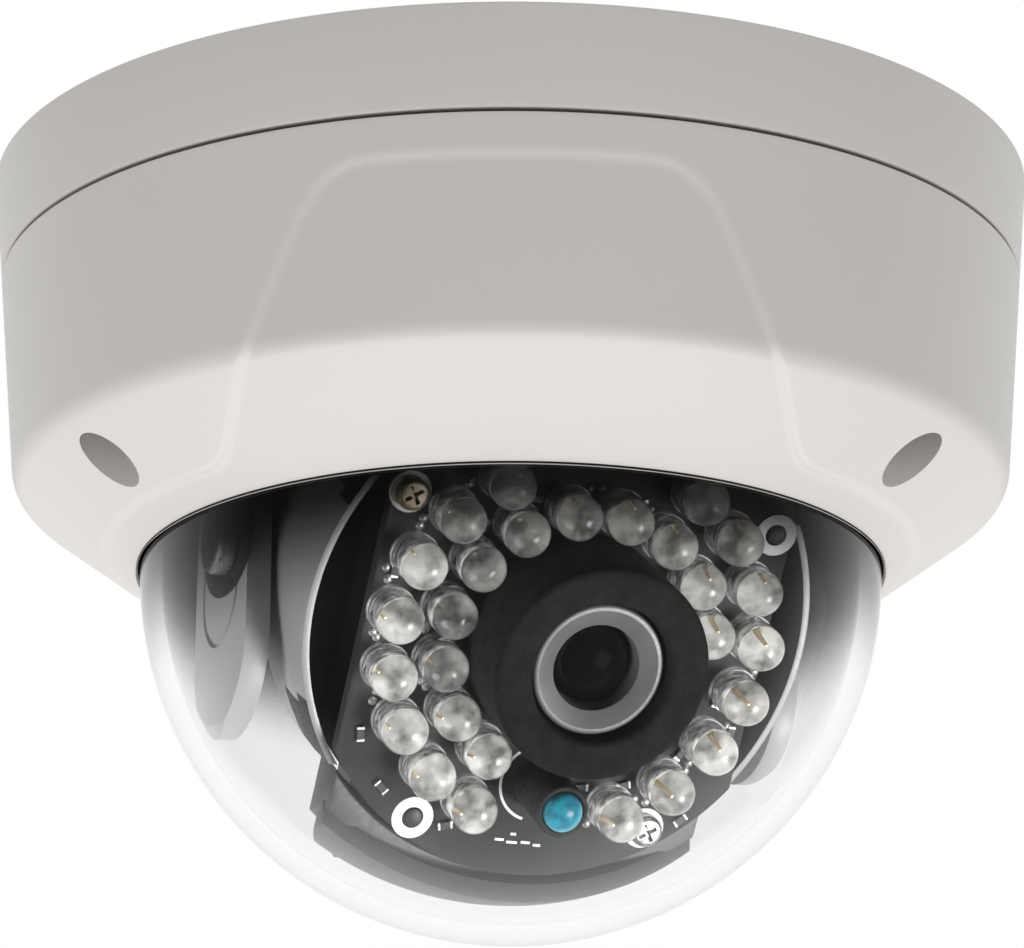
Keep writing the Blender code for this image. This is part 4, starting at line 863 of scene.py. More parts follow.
panLock = dress(makeScrew("panLock", lockScrew, 48), steel)
mount(panLock, "pan_stage", ["pan_lock_screw"], panTurn @ shiftBy(y=lockScrew["at"]))
print("pan bracket ready")

# tilt frame, chin and pivot screws; x along the tilt axis, z along the lens

tilt = {
    "outer": 25.2, "inner": 23.2, "front": 11.0, "back": 9.0, "half": 17.0, "sideHalf": 11.5,
    "tail": -6.5, "tailHalf": 7.0, "bore": 13.0,
    "pivotBoss": 4.5, "bossEnd": 28.2, "pivotWay": 2.0, "edge": 0.3,
    # smooth side cheeks, turned about the lens axis: (radius, height)
    "cheek": ((27.3, 16.8), (27.7, 13.0), (27.8, 9.0), (27.8, 4.0), (27.6, 1.0), (27.0, -3.0), (25.9, -7.0),
              (24.2, -10.5)),
    "cheekInside": ((22.6, -10.5), (24.3, -7.0), (25.4, -3.0), (26.0, 1.0), (26.2, 4.0), (26.3, 8.5),
                    (26.6, 10.5), (26.6, 16.8)),
    "cheekLow": -16.9, "cheekHigh": 14.0, "cheekFront": 16.4, "cheekReach": 10.0,
    "cheekRow": 1.0, "cheekEdge": 0.2,
    # where the outer skin of the cheeks starts
    "skinRadius": 23.5, "skinSide": 25.3, "skinFront": 8.5, "footRadius": 26.0,
}


def extrudeOutline(name, points, low, high):
    # flat outline in the YZ plane, extruded along X
    pickNone()
    line = drawLine(name, points, True)
    editAll(line)
    bpy.ops.mesh.edge_face_add()
    bpy.ops.mesh.extrude_region_move(TRANSFORM_OT_translate={"value": (0, (high - low) * mm, 0)})
    editDone()
    putAt(line, Matrix(((0, 1, 0, low * mm), (1, 0, 0, 0), (0, 0, 1, 0), (0, 0, 0, 1))))
    cleanShell(line)
    return line


def makeTiltFrame():
    half = [(tilt["half"], tilt["front"]), (tilt["half"], tilt["back"]), (tilt["sideHalf"], tilt["back"]),
            (tilt["tailHalf"], tilt["tail"])]
    outline = half + [(-y, z) for y, z in half[::-1]]
    low, high = through
    shell = extrudeOutline("tiltFrame", outline, -tilt["outer"], tilt["outer"])
    cutOut(shell, block("hollow", (-tilt["inner"], low, low), (tilt["inner"], high, tilt["back"])),
           rod("bore", tilt["bore"], low, high, steps=96))
    limit = rod("round", math.hypot(tilt["outer"], tilt["sideHalf"]), low, high, steps=128)
    combine(shell, [limit], "INTERSECT")
    for side in (-1, 1):
        near, far = sorted((side * (tilt["inner"] + tilt["outer"]) / 2, side * tilt["bossEnd"]))
        weldOn(shell, putAt(rod("boss", tilt["pivotBoss"], near, far), turnBy(90, "Y")))
    softenEdges(shell, tilt["edge"], 2, 40)
    cheeks = lathe("cheeks", evenRows(list(tilt["cheek"]), tilt["cheekRow"]) + list(tilt["cheekInside"]), 160)
    room = block("cheekRoom", (low, tilt["cheekLow"], low), (high, tilt["cheekHigh"], high))
    combine(cheeks, [room], "INTERSECT")
    reach = tilt["cheekReach"]
    cutOut(cheeks, block("between", (-reach, low, low), (reach, high, high)))
    softenEdges(cheeks, tilt["cheekEdge"], 2, 50)
    weldOn(shell, cheeks)
    cutOut(shell, putAt(rod("pivotWay", tilt["pivotWay"], *through), turnBy(90, "Y")))
    return smoothOver(shell, 30)


tiltFrame = dress(makeTiltFrame(), blackPlastic, cheekPlastic)
for face in tiltFrame.data.polygons:  # the outer skin of the cheeks is pale; their inner faces keep the black, a painted shade for the recess beside the light board
    x, y, z = face.center / mm
    radius = math.hypot(x, y)
    outward = (face.normal.x * x + face.normal.y * y) / radius
    onSide = abs(x) > tilt["skinSide"] or z < tilt["skinFront"]
    onSkin = outward > 0.3 and radius > tilt["skinRadius"] and onSide
    onFoot = y < tilt["cheekLow"] + 0.1 and radius > tilt["footRadius"]
    # faces left out here stay black: painted shade inside the cheeks
    if onSkin or onFoot or z > tilt["cheekFront"]:
        face.material_index = 1
mount(tiltFrame, "tilt_stage", ["tilt_frame"], headPlace)

chin = {
    "radius": 35.0, "wall": 1.8, "halfWidth": 25.0, "start": 55.0, "sweep": 70.0,
    "arcSteps": 50, "sweepSteps": 64,
    "taperStart": 14.0, "wide": 20.5, "tailHalf": 5.8, "tailEnd": -21.87, "edge": 0.35,
    "collar": ((26.9, 10.8), (31.6, 10.8), (29.7, 16.4, 0.4), (26.9, 16.4, 0.4)),
    "collarInset": 0.15, "collarEdge": 0.2,
    "tabAt": 15.0, "tabHalf": 0.9, "tabReach": -9.0, "tabEnd": -30.2, "tabFront": 8.7, "tabRear": 4.0,
}


def makeChin():
    line = []
    widest = math.asin(chin["halfWidth"] / chin["radius"])
    for step in range(chin["arcSteps"] + 1):
        angle = widest * (2 * step / chin["arcSteps"] - 1)
        line.append((chin["radius"] * math.cos(angle), chin["radius"] * math.sin(angle)))
    band = drawLine("chin", line)
    putAt(band, turnBy(chin["start"]))
    spinLine(band, chin["sweepSteps"], chin["sweep"])
    # the spin axis lies along the tilt axis, and the band below the lights
    putAt(band, Matrix(((0, 0, 1, 0), (0, -1, 0, 0), (1, 0, 0, 0), (0, 0, 0, 1))))
    cleanShell(band)
    wall = band.modifiers.new("wall", "SOLIDIFY")
    wall.thickness = chin["wall"] * mm
    wall.offset = outwardSide(band)
    applyAll(band)
    half = [(chin["wide"], chin["radius"]), (chin["wide"], chin["taperStart"]),
            (chin["tailHalf"], chin["tailEnd"])]
    taper = extrudeOutline("taper", half + [(-x, z) for x, z in half[::-1]], -55, 20)
    putAt(taper, turnBy(-90) @ Matrix.Scale(-1, 4, (1, 0, 0)))
    cleanShell(taper)
    combine(band, [taper], "INTERSECT")
    softenEdges(band, chin["edge"], 3, 50)
    collar = lathe("collar", softLine(chin["collar"]), 160)
    reach = chin["wide"] - chin["collarInset"]
    room = block("collarRoom", (-reach, through[0], through[0]), (reach, 0, through[1]))
    combine(collar, [room], "INTERSECT")
    softenEdges(collar, chin["collarEdge"], 2, 60)
    weldOn(band, collar)
    for side in (-1, 1):
        middle = side * chin["tabAt"]
        weldOn(band, block("tab", (middle - chin["tabHalf"], chin["tabEnd"], chin["tabRear"]),
                           (middle + chin["tabHalf"], chin["tabReach"], chin["tabFront"])))
    return smoothOver(band, 30)


def outwardSide(band):
    # solidify grows towards the middle whichever way the faces point
    face = band.data.polygons[0]
    return -1.0 if face.normal.dot(face.center) > 0 else 1.0


chinBand = dress(makeChin(), chinPlastic)
mount(chinBand, "tilt_stage", ["tilt_liner"], headPlace)

pivotScrew = {
    "tip": 24.2, "tipRound": 0.2, "shank": 1.6, "seat": 31.3, "seatRound": 0.2, "head": 3.4,
    "top": 33.3, "topRound": 0.7, "recess": (2.1, 0.8, 0.9, 30),
}
for word, side in (("left", -1), ("right", 1)):
    screw = dress(makeScrew(f"pivotScrew{word.title()}", pivotScrew, 64), steel)
    mount(screw, "tilt_stage", [f"pivot_screw_{word}"], headPlace @ turnBy(90 * side, "Y"))
print("tilt frame ready")

# lens, from the image sensor to the front glass

optics = {
    "sensorHalf": 11.0, "sensorBack": -6.0, "sensorFront": -4.4, "chipHalf": 4.0, "chipFront": -3.4,
    "mountFoot": -4.1, "mountFlange": 10.0, "flangeThick": 1.6, "mountBore": 6.3, "mountRadius": 8.6,
    "mountFront": 12.0, "barrelBore": 3.5, "barrelRadius": 6.0, "barrelRear": 0.5, "barrelFront": 20.0,
    "pitch": 0.5, "lockBore": 6.3, "lockRadius": 8.0, "lockLow": 12.3, "lockHigh": 14.3,
    "lockNotches": 24, "notchRadius": 0.45, "notchOut": 0.2,
    "lipRadius": 4.55, "lipFront": 28.3, "rimRadius": 6.9, "rimRear": 20.3, "rimFront": 29.0,
    "mouthRadius": 6.3, "throat": 25.8, "throatBore": 4.4,
    "glassRadius": 4.3, "glassCrown": 2.1, "glassRear": 22.8,
}


def makeSensorBoard():
    half, chip = optics["sensorHalf"], optics["chipHalf"]
    front = optics["sensorFront"]
    board = block("sensorBoard", (-half, -half, optics["sensorBack"]), (half, half, front), 0.25)
    chipPiece = block("chip", (-chip, -chip, front - 0.5), (chip, chip, optics["chipFront"]), 0.2)
    return joinUp("sensorBoard", [dress(board, greenBoard), dress(chipPiece, chipBlack)])


def makeLensMount():
    half = optics["mountFlange"]
    top = optics["mountFoot"] + optics["flangeThick"]
    holder = block("lensMount", (-half, -half, optics["mountFoot"]), (half, half, top), 0.4)
    tube = rod("tube", optics["mountRadius"], top - 0.8, optics["mountFront"], steps=96)
    softenEdges(tube, 0.3)
    weldOn(holder, tube)
    cutOut(holder, rod("bore", optics["mountBore"], *through, steps=96))
    return dress(smoothOver(holder, 30), blackPlastic)


def makeLensBarrel():
    bore, radius, pitch = optics["barrelBore"], optics["barrelRadius"], optics["pitch"]
    front, rear = optics["barrelFront"], optics["barrelRear"]
    line = [(bore, front), (radius, front)]
    high = front - pitch
    while high > rear + 1:
        line += [(radius - pitch / 2, high - pitch / 2), (radius, high - pitch)]
        high -= pitch
    line += [(radius, rear), (bore, rear)]
    return dress(smoothOver(lathe("lensBarrel", line, 72), 25), lensBlack)


def makeLensLock():
    radius, notches = optics["lockRadius"], optics["lockNotches"]
    lock = softRing("lensLock", optics["lockBore"], radius, optics["lockLow"], optics["lockHigh"], 0.25, 96)
    for number in range(notches):
        at = polar(radius + optics["notchOut"], 360 * number / notches)
        cutOut(lock, rod("notch", optics["notchRadius"], 0, 40, at, 12))
    return dress(smoothOver(lock, 30), clampMetal)


def makeLensRim():
    line = softLine([
        (optics["mouthRadius"], optics["rimFront"], 0.1), (optics["lipRadius"], optics["lipFront"], 0.1),
        (optics["throatBore"], optics["throat"]), (optics["throatBore"], optics["rimRear"]),
        (optics["rimRadius"], optics["rimRear"], 0.2), (optics["rimRadius"], optics["rimFront"], 0.3)])
    return dress(smoothOver(lathe("lensRim", line, 128), 25), lensMetal)


def makeFrontGlass():
    line = quarterArc(optics["glassRadius"], optics["glassCrown"], optics["throat"], 14)
    line += [(optics["glassRadius"], optics["glassRear"]), (0, optics["glassRear"])]
    return dress(smoothOver(lathe("lensGlass", line, 96, closed=False), 40), lensGlass)


mount(makeSensorBoard(), "roll_stage", ["sensor_board"], headPlace)
mount(makeLensMount(), "roll_stage", ["lens_mount"], headPlace)
mount(makeLensBarrel(), "roll_stage", ["lens_barrel"], headPlace)
mount(makeLensLock(), "roll_stage", ["lens_lock_ring"], headPlace)
mount(makeLensRim(), "roll_stage", ["lens_front_ring"], headPlace)
frontGlass = mount(makeFrontGlass(), "roll_stage", ["lens_glass"], headPlace)
print("lens ready")

# roll carrier and its spring ring

carrier = {
    "bore": 8.9, "hub": 12.7, "tail": 5.0, "grooveHigh": 8.85, "grooveLow": 6.15, "groove": 12.0,
    "radius": 26.3, "flat": 21.8, "back": 11.3, "front": 13.3, "postRadius": 1.9, "postTop": 16.97,
    "pinRadius": 1.0, "pinTop": 19.3, "screwHole": 1.3,
    "posts": ((20.0, 13.3), (-20.0, 13.3), (-12.2, -21.0), (13.2, -19.9)),
    "snapBore": 12.3, "snapRadius": 16.0, "snapLow": 6.45, "snapHigh": 8.7, "snapOpening": 4.0,
}


def trimFlats(piece, flat):
    # slice both sides of a disc off flat
    for side in (-1, 1):
        editAll(piece)
        bpy.ops.mesh.bisect(plane_co=(side * flat * mm, 0, 0), plane_no=(side, 0, 0),
                            use_fill=True, clear_outer=True)
        editDone()
    return piece


def makeCarrier():
    plate = lathe("rollCarrier", softLine([
        (carrier["bore"], carrier["front"], 0.2), (carrier["radius"], carrier["front"], 0.2),
        (carrier["radius"], carrier["back"], 0.2), (carrier["hub"], carrier["back"]),
        (carrier["hub"], carrier["grooveHigh"]), (carrier["groove"], carrier["grooveHigh"]),
        (carrier["groove"], carrier["grooveLow"]), (carrier["hub"], carrier["grooveLow"]),
        (carrier["hub"], carrier["tail"], 0.3), (carrier["bore"], carrier["tail"], 0.2)]), 128)
    trimFlats(plate, carrier["flat"])
    for number, at in enumerate(carrier["posts"]):
        weldOn(plate, rod("post", carrier["postRadius"], carrier["front"] - 1, carrier["postTop"], at))
        if number % 2 == 0:
            pin = rod("pin", carrier["pinRadius"], carrier["front"] - 1, carrier["pinTop"], at)
            softenEdges(pin, 0.25)
            weldOn(plate, pin)
        else:
            cutOut(plate, rod("hole", carrier["screwHole"], *through, at))
    return smoothOver(plate, 30)


rollCarrier = dress(makeCarrier(), blackPlastic)
mount(rollCarrier, "roll_stage", ["roll_carrier"], headPlace)
snap = softRing("snapRing", carrier["snapBore"], carrier["snapRadius"],
                carrier["snapLow"], carrier["snapHigh"], 0.25, 96)
gap = carrier["snapOpening"]
cutOut(snap, block("opening", (-gap, 0, through[0]), (gap, through[1], through[1])))
dress(smoothOver(snap, 30), steel)
mount(snap, "roll_stage", ["roll_retaining_ring"], headPlace)

# light board with its pads, marks and small parts

board = {
    "radius": 26.3, "flat": 21.8, "back": 17.3, "front": 18.9, "bore": 7.7, "hole": 1.7, "edge": 0.12,
    "padInner": 1.12, "padOuter": 2.2, "padThick": 0.16, "padLap": 0.05, "padRound": 0.03, "seat": 19.2,
}


def makeBoard():
    plate = rod("lightBoard", board["radius"], board["back"], board["front"], steps=180)
    trimFlats(plate, board["flat"])
    cutOut(plate, rod("bore", board["bore"], *through, steps=96))
    for at in carrier["posts"]:
        cutOut(plate, rod("hole", board["hole"], *through, at))
    softenEdges(plate, board["edge"], 2, 40)
    return smoothOver(plate, 30)


lightBoard = dress(makeBoard(), boardMask)
mount(lightBoard, "roll_stage", ["led_board"], headPlace)

pads = []
padLow, padHigh = board["front"] - board["padLap"], board["front"] + board["padThick"]
for at in carrier["posts"]:
    pad = lathe("pad", softLine([
        (board["padInner"], padLow), (board["padOuter"], padLow),
        (board["padOuter"], padHigh, board["padRound"]),
        (board["padInner"], padHigh, board["padRound"])]), 48)
    pads.append(putAt(pad, shiftBy(*at)))
boardPads = dress(smoothOver(joinUp("boardPads", pads), 40), whiteInk)
mount(boardPads, "roll_stage", (), headPlace)

smallParts = {
    # place on the board and turn in degrees
    "chips": ((9.8, -15.4, 20), (15.3, -11.3, 60), (17.9, -5.1, 80), (5.2, -16.1, 10), (17.0, -18.6, 45),
              (-8.6, -21.5, 15), (-19.7, -12.6, 100), (-19.9, 5.0, 90), (-6.5, 22.5, 10), (9.5, 22.3, 170),
              (20.3, -8.5, 90), (-16.3, -18.0, 140), (3.4, 23.6, 0), (-13.4, 21.0, 30)),
    "half": (0.8, 0.42), "height": 0.45, "cap": 0.3, "dotRadius": 0.5, "dotHeight": 0.28, "dotReach": 3.0,
    "dotSpread": (55, 80),
    "arcRadius": 4.3, "arcWide": 0.28, "arcTurn": -20, "inkThick": 0.04, "lap": 0.02, "dashHalf": 0.14,
    "dashes": ((-2.3, -22.6, 0.5), (-0.9, -22.8, 0.6), (0.6, -22.7, 0.5), (1.9, -22.9, 0.4),
               (-0.9, -21.9, 0.3)),
}


def makeChip():
    length, width = smallParts["half"]
    low, high = board["front"] - smallParts["lap"], board["front"] + smallParts["height"]
    inner, bodyWidth = length - smallParts["cap"], width * 0.94
    body = block("chipBody", (-inner, -bodyWidth, low), (inner, bodyWidth, high - 0.03), 0.04, 1)
    pieces = [dress(body, chipBlack)]
    for near, far in ((-length, -inner), (inner, length)):
        pieces.append(dress(block("cap", (near, -width, low), (far, width, high), 0.06, 1), tin))
    return joinUp("chipShape", pieces)


def makeDot():
    radius, height = smallParts["dotRadius"], smallParts["dotHeight"]
    low = -smallParts["lap"]
    line = [(0, height), (radius * 0.6, height * 0.85), (radius * 0.9, height * 0.4), (radius, low), (0, low)]
    return dress(smoothOver(lathe("dotShape", line, 12, closed=False), 60), tin)


def makeInk():
    # thin printed lines beside the light sensor
    radius, wide = smallParts["arcRadius"], smallParts["arcWide"]
    low, high = board["front"] - smallParts["lap"], board["front"] + smallParts["inkThick"]
    arc = softRing("inkArc", radius - wide, radius, low, high, 0.01, 72)
    cutOut(arc, block("side", (0.5, -20, 0), (20, 20, 40)))
    lines = [putAt(arc, shiftBy(*sensor["at"]) @ turnBy(smallParts["arcTurn"]))]
    tall = smallParts["dashHalf"]
    for x, y, half in smallParts["dashes"]:
        lines.append(block("dash", (x - half, y - tall, low), (x + half, y + tall, high), 0.01, 1))
    return dress(joinUp("boardInk", lines), whiteInk)


leds = {
    "innerCircle": 14.2, "innerRuns": ((12.0, 11),), "innerPitch": 22.8,
    "outerCircle": 19.6, "outerRuns": ((296.0, 8), (124.0, 8)), "outerPitch": 17.7,
    "radius": 2.4, "height": 6.2, "flange": 2.55, "flangeHeight": 0.8, "flangeRound": 0.08,
    "seed": 7, "wander": 25,
    # faceted reflector in the resin, its die and the wire post
    "cup": ((0, 1.3), (0.5, 1.3), (1.2, 2.1), (1.95, 3.5), (2.1, 3.5), (1.5, 1.6), (0.7, 0.7), (0.5, 0.15),
            (0, 0.15)),
    "facets": 9, "die": ((-0.3, -0.3, 1.25), (0.3, 0.3, 1.6)), "post": ((0.62, -0.09, 1.4), (0.8, 0.09, 3.0)),
}


def ledPlaces():
    places = []
    for row in ("inner", "outer"):
        pitch, runs = leds[row + "Pitch"], leds[row + "Runs"]
        angles = [start + pitch * step for start, count in runs for step in range(count)]
        for number, angle in enumerate(angles, 1):
            places.append((f"led_{row}_{number:02d}", polar(leds[row + "Circle"], angle), angle))
    return places


def makeLed():
    radius, flange, rounding = leds["radius"], leds["flange"], leds["flangeRound"]
    line = quarterArc(radius, radius, leds["height"] - radius, 12)
    line += softLine([line[-1], (radius, leds["flangeHeight"]), (flange, leds["flangeHeight"], rounding),
                      (flange, 0, rounding), (0, 0)])[1:]
    resin = dress(smoothOver(lathe("resin", line, 40, closed=False), 40), clearLed)
    cup = dress(lathe("cup", leds["cup"], leds["facets"], closed=False), cupSilverGlints)
    post = dress(block("post", *leds["post"], 0.03, 1), brass)
    die = dress(block("die", *leds["die"], 0.03, 1), brass)
    return joinUp("ledShape", [resin, cup, post, die])


ledShape = makeLed()
rng = random.Random(leds["seed"])
for node, (x, y), angle in ledPlaces():
    turn = turnBy(angle + rng.uniform(-leds["wander"], leds["wander"]))
    led = copyTo(ledShape, node.replace("_", "") + "Lamp", headPlace @ shiftBy(x, y, board["seat"]) @ turn)
    mount(led, "roll_stage", [node])
bpy.data.objects.remove(ledShape)
print("lights ready", len(ledPlaces()))

chipShape, dotShape = makeChip(), makeDot()
chips = [copyTo(chipShape, "chip", shiftBy(x, y) @ turnBy(turn))
         for x, y, turn in smallParts["chips"]]
mount(joinUp("boardChips", chips), "roll_stage", (), headPlace)
dots = []
for node, (x, y), angle in ledPlaces():
    for side in (-1, 1):
        px, py = polar(smallParts["dotReach"], angle + side * rng.uniform(*smallParts["dotSpread"]))
        dots.append(copyTo(dotShape, "dot", shiftBy(x + px, y + py, board["front"])))
mount(joinUp("boardSolder", dots), "roll_stage", (), headPlace)
for shape in (chipShape, dotShape):
    bpy.data.objects.remove(shape)

# foam ring, light sensor and board screws

foamRing = {"bore": 7.3, "radius": 11.3, "low": 19.2, "high": 30.5, "round": 0.7, "footRound": 0.3}
sensor = {
    "at": (0.6, -16.1), "bore": 2.15, "radius": 2.75, "low": 19.2, "high": 26.8, "window": 2.05, "proud": 1.3,
    "footRound": 0.2, "lipRound": 0.35, "boreRound": 0.25,
}
boardScrew = {
    "tip": 13.3, "tipRound": 0.2, "shank": 1.0, "seat": 19.2, "seatRound": 0.1, "head": 1.7,
    "top": 20.4, "topRound": 0.5, "recess": (1.05, 0.45, 0.6, 35),
}

shield = lathe("foamRing", softLine([
    (foamRing["bore"], foamRing["low"]), (foamRing["radius"], foamRing["low"], foamRing["footRound"]),
    (foamRing["radius"], foamRing["high"], foamRing["round"]),
    (foamRing["bore"], foamRing["high"], foamRing["round"])], 6), 128)
dress(smoothOver(shield, 40), foam)
mount(shield, "roll_stage", ["infrared_shield_ring"], headPlace)

sensorPlace = headPlace @ shiftBy(*sensor["at"])
tube = lathe("sensorTube", softLine([
    (sensor["bore"], sensor["low"]), (sensor["radius"], sensor["low"], sensor["footRound"]),
    (sensor["radius"], sensor["high"], sensor["lipRound"]),
    (sensor["bore"], sensor["high"], sensor["boreRound"])]), 56)
dress(smoothOver(tube, 40), rubber)
mount(tube, "roll_stage", ["light_sensor_tube"], sensorPlace)
line = quarterArc(sensor["window"], sensor["proud"], sensor["high"], 10)
line += [(sensor["window"], sensor["low"]), (0, sensor["low"])]
window = dress(smoothOver(lathe("sensorWindow", line, 40, closed=False), 40), blueResin)
mount(window, "roll_stage", ["light_sensor_window"], sensorPlace)

for number, at in enumerate(carrier["posts"][1::2], 1):
    screw = dress(makeScrew(f"boardScrew{number}", boardScrew, 40), brass if number == 1 else steel)
    mount(screw, "roll_stage", [f"board_screw_{number}"], headPlace @ shiftBy(*at))
mount(makeInk(), "roll_stage", (), headPlace)
print("head ready")

# main board and side plug, seen with the cover off

mainBoard = {
    "bore": 22.2, "radius": 40.0, "low": -7.1, "high": -5.5, "notch": 11.0, "circle": 31.0,
    # name: angle, length, width, height
    "slot": (180, 12.0, 14.0, 1.8), "processor": (0, 12.0, 12.0, 1.2), "socket": (-90, 12.0, 8.0, 3.0),
    "chips": ((-50, 27, 4, 4, 0.9), (-38, 35, 3, 5, 0.8), (-130, 28, 5, 4, 1.0), (-145, 36, 3, 3, 0.7),
              (35, 33, 4, 3, 0.8), (48, 27, 3, 3, 0.7), (140, 30, 5, 5, 1.0), (122, 36, 3, 4, 0.8)),
    "cans": ((-60, 35, 1.9), (-120, 35, 1.9), (58, 35, 1.6), (-25, 26, 1.4)), "canHeight": 2.6,
    "pins": 8, "pinHalf": 0.2, "lap": 0.3,
}


def hangBlock(name, angle, circle, length, width, height, finish, edge=0.2):
    x, y = polar(circle, angle)
    low, high = mainBoard["low"] - height, mainBoard["low"] + mainBoard["lap"]
    corners = (x - length / 2, y - width / 2, low), (x + length / 2, y + width / 2, high)
    return dress(block(name, *corners, edge), finish)


def makeMainBoard():
    plate = softRing("mainBoard", mainBoard["bore"], mainBoard["radius"], mainBoard["low"], mainBoard["high"],
                     0.12, 160)
    cutOut(plate, block("notch", (-mainBoard["notch"], 0, -40), (mainBoard["notch"], 60, 40)))
    pieces = [dress(smoothOver(plate, 30), greenBoard)]
    angle, length, width, height = mainBoard["slot"]
    card = hangBlock("cardSlot", angle, mainBoard["circle"], length, width, height, tin)
    x, y = polar(mainBoard["circle"], angle)
    low = mainBoard["low"] - height
    half, inner = width * 0.42, x - length / 2 + 1.5
    cutOut(card, block("mouth", (x - length, y - half, low + 0.5), (inner, y + half, low + 1.3)))
    pieces.append(card)
    angle, length, width, height = mainBoard["processor"]
    pieces.append(hangBlock("processor", angle, mainBoard["circle"], length, width, height, chipBlack, 0.25))
    angle, length, width, height = mainBoard["socket"]
    socket = hangBlock("plugSocket", angle, mainBoard["circle"], length, width, height, whiteInk, 0.2)
    x, y = polar(mainBoard["circle"], angle)
    low = mainBoard["low"] - height
    half, deep = length * 0.42, width * 0.35
    cutOut(socket, block("well", (x - half, y - deep, low - 1), (x + half, y + deep, low + 2.2)))
    pieces.append(socket)
    half = mainBoard["pinHalf"]
    for number in range(mainBoard["pins"]):
        px = x + length * 0.36 * (2 * number / (mainBoard["pins"] - 1) - 1)
        pin = block("pin", (px - half, y - half, low + 0.6), (px + half, y + half, low + 2.6), 0.05, 1)
        pieces.append(dress(pin, brass))
    for angle, circle, length, width, height in mainBoard["chips"]:
        pieces.append(hangBlock("chip", angle, circle, length, width, height, chipBlack, 0.12))
    for angle, circle, radius in mainBoard["cans"]:
        at = polar(circle, angle)
        low = mainBoard["low"] - mainBoard["canHeight"]
        can = rod("can", radius, low, mainBoard["low"] + mainBoard["lap"], at, 32)
        softenEdges(can, 0.25)
        pieces.append(dress(smoothOver(can, 30), tin))
    return joinUp("mainBoard", pieces)


mount(makeMainBoard(), "base", ["main_board"])

sidePlug = {
    "half": 4.7, "inner": 46.43, "face": 54.37, "low": -5.9, "high": -0.3, "edge": 0.3,
    "tailHalf": 6.15, "tailOuter": 47.88, "tailInner": 44.98, "tailHigh": -3.3,
    # finger grooves in the outer face
    "grooves": 3, "grooveStart": 1.2, "groovePitch": 1.4, "grooveHalf": 3.6,
    "grooveWide": 0.6, "grooveDeep": 0.5,
}


def makeSidePlug():
    plug = block("sidePlug", (sidePlug["inner"], -sidePlug["half"], sidePlug["low"]),
                 (sidePlug["face"], sidePlug["half"], sidePlug["high"]))
    weldOn(plug, block("tail", (sidePlug["tailInner"], -sidePlug["tailHalf"], sidePlug["low"]),
                       (sidePlug["tailOuter"], sidePlug["tailHalf"], sidePlug["tailHigh"])))
    softenEdges(plug, sidePlug["edge"], 3, 40)
    half, floorAt = sidePlug["grooveHalf"], sidePlug["face"] - sidePlug["grooveDeep"]
    for number in range(sidePlug["grooves"]):
        low = sidePlug["low"] + sidePlug["grooveStart"] + sidePlug["groovePitch"] * number
        cutOut(plug, block("groove", (floorAt, -half, low), (through[1], half, low + sidePlug["grooveWide"])))
    return dress(smoothOver(plug, 30), rubber)


mount(makeSidePlug(), "base", ["side_outlet_plug"], turnBy(base["outletAngle"]))
print("main board ready")


# stage, light and camera

stage = {
    "floorSize": 12.0, "floorHeight": -1.35, "worldLight": 0.70,
    "room": {"From Min": -0.15, "From Max": 0.85, "To Min": 0.08, "To Max": 1.0},
}
lamps = {
    # place, aim and size in metres, and power in watts
    "underBox": ((0, -0.02, -0.26), (0, -0.02, 0), (0.36, 0.36), 0.64),
    "rightBox": ((0.45, -0.25, -0.42), (0, 0, -0.05), (0.22, 0.22), 6.0),
    "leftBox": ((-0.38, -0.14, -0.42), (0, 0, -0.05), (0.3, 0.3), 3.3),
}
camera = {
    "distance": 650.0, "elevation": -17.72, "aim": -31.81,
    "pixels": 6094.0, "shift": 1.3, "pictureWidth": 1024, "sensor": 36.0,
}


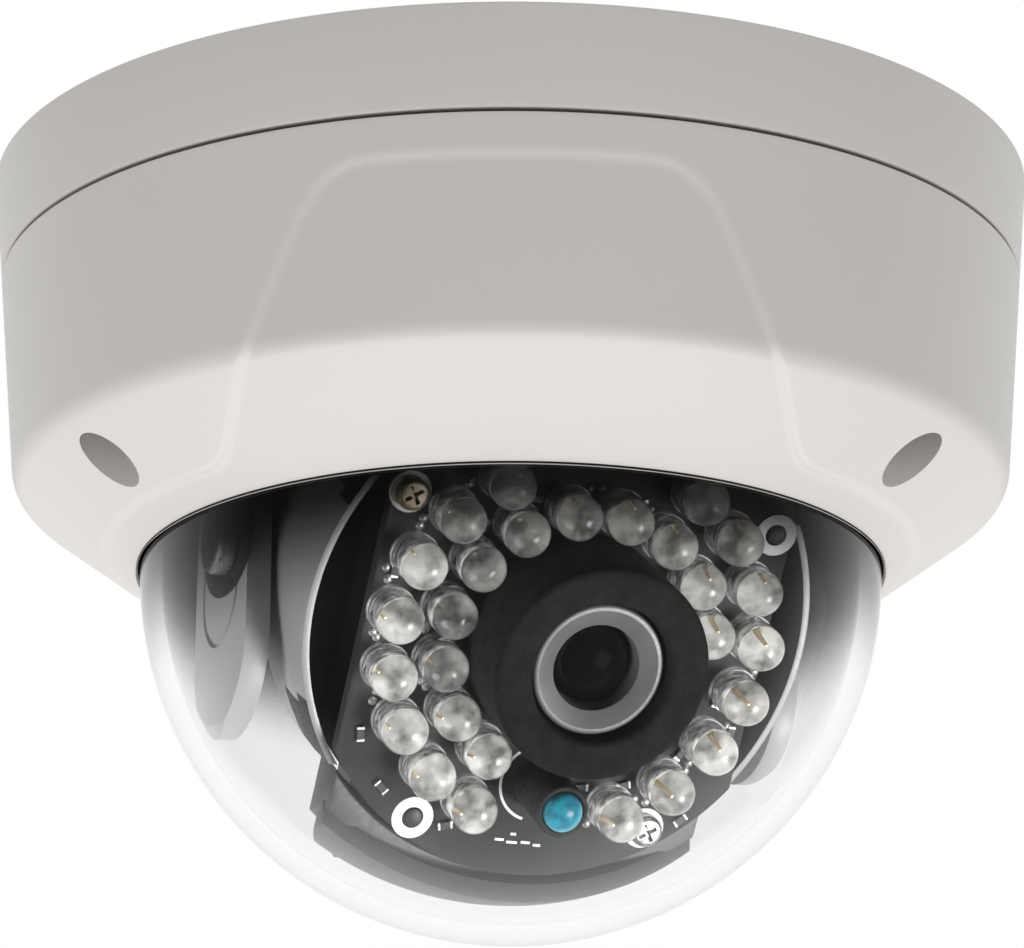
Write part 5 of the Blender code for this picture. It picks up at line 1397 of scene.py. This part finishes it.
def makeStage():
    pickNone()
    bpy.ops.mesh.primitive_plane_add(size=stage["floorSize"], location=(0, 0, stage["floorHeight"]))
    floor = bpy.context.object
    floor.name = "studioFloor"
    dress(floor, surface("paleFloor", (0.80, 0.80, 0.79), (0.84, 0.84, 0.83), 4, (0.6, 0.75), 200, 0.02))
    floor.visible_glossy = floor.visible_transmission = False  # no horizon line in the dome
    world = bpy.data.worlds.new("studio")
    bpy.context.scene.world = world
    world.use_nodes = True
    tree = world.node_tree
    light = tree.nodes["Background"]
    light.inputs["Color"].default_value = (1, 1, 1, 1)
    light.inputs["Strength"].default_value = stage["worldLight"]
    # the studio is white behind the object and dim behind the camera
    white = addNode(tree, "ShaderNodeBackground")
    white.inputs["Color"].default_value = (1, 1, 1, 1)
    way = addNode(tree, "ShaderNodeTexCoord")
    parts = addNode(tree, "ShaderNodeSeparateXYZ")
    depth = addNode(tree, "ShaderNodeMapRange", interpolation_type="SMOOTHSTEP")
    for key in ("From Min", "From Max", "To Min", "To Max"):
        depth.inputs[key].default_value = stage["room"][key]
    path = addNode(tree, "ShaderNodeLightPath")
    level = addNode(tree, "ShaderNodeMath", operation="MAXIMUM")
    seen = addNode(tree, "ShaderNodeMath", operation="ADD")
    seenToo = addNode(tree, "ShaderNodeMath", operation="ADD", use_clamp=True)
    pick = addNode(tree, "ShaderNodeMixShader")
    for source, target in (
            (way.outputs["Generated"], parts.inputs[0]), (parts.outputs["Y"], depth.inputs["Value"]),
            (depth.outputs["Result"], level.inputs[0]), (path.outputs["Is Camera Ray"], level.inputs[1]),
            (level.outputs[0], white.inputs["Strength"]),
            (path.outputs["Is Camera Ray"], seen.inputs[0]), (path.outputs["Is Glossy Ray"], seen.inputs[1]),
            (seen.outputs[0], seenToo.inputs[0]), (path.outputs["Is Transmission Ray"], seenToo.inputs[1]),
            (seenToo.outputs[0], pick.inputs[0]), (light.outputs[0], pick.inputs[1]),
            (white.outputs[0], pick.inputs[2]),
            (pick.outputs[0], tree.nodes["World Output"].inputs["Surface"])):
        tree.links.new(source, target)
    return floor


def makeLamp(name, place, aim, size, power, apartFrom):
    lamp = bpy.data.lights.new(name, "AREA")
    lamp.shape = "RECTANGLE"
    lamp.size, lamp.size_y = size
    lamp.energy = power
    holder = bpy.data.objects.new(name, lamp)
    holder.location = place
    holder.rotation_euler = (Vector(aim) - Vector(place)).to_track_quat("-Z", "Y").to_euler()
    bpy.context.scene.collection.objects.link(holder)
    apart = bpy.data.collections.new(name + "Apart")
    for piece in apartFrom:
        apart.objects.link(piece)
    for link in apart.collection_objects:
        link.light_linking.link_state = "EXCLUDE"
    holder.light_linking.receiver_collection = apart


floor = makeStage()
# no soft box is mirrored in the clear dome, and the two small ones reach in to the head alone
shell = (clearBubble, coverShell, mountingBase, floor)
dark = (clearBubble, frontGlass)
for name, apart in (("underBox", dark), ("rightBox", shell), ("leftBox", shell)):
    makeLamp(name, *lamps[name], apart)
lens = bpy.data.cameras.new("photoCamera")
lens.sensor_width = camera["sensor"]
lens.lens = camera["pixels"] * camera["sensor"] / camera["pictureWidth"]
lens.shift_x = camera["shift"] / camera["pictureWidth"]
lens.clip_start, lens.clip_end = 0.01, 20.0
viewer = bpy.data.objects.new("photoCamera", lens)
lift = math.radians(camera["elevation"])
back, rise = camera["distance"] * math.cos(lift), camera["distance"] * math.sin(lift)
viewer.location = (0, -back * mm, (camera["aim"] + rise) * mm)
sight = Vector((0, 0, camera["aim"] * mm)) - viewer.location
viewer.rotation_euler = sight.to_track_quat("-Z", "Y").to_euler()
bpy.context.scene.collection.objects.link(viewer)
bpy.context.scene.camera = viewer
bpy.context.scene.view_settings.view_transform = "Standard"
print("stage ready")

# a plain finish for any CAD node that still shows

for name, node in nodes.items():
    dress(node, blackPlastic)
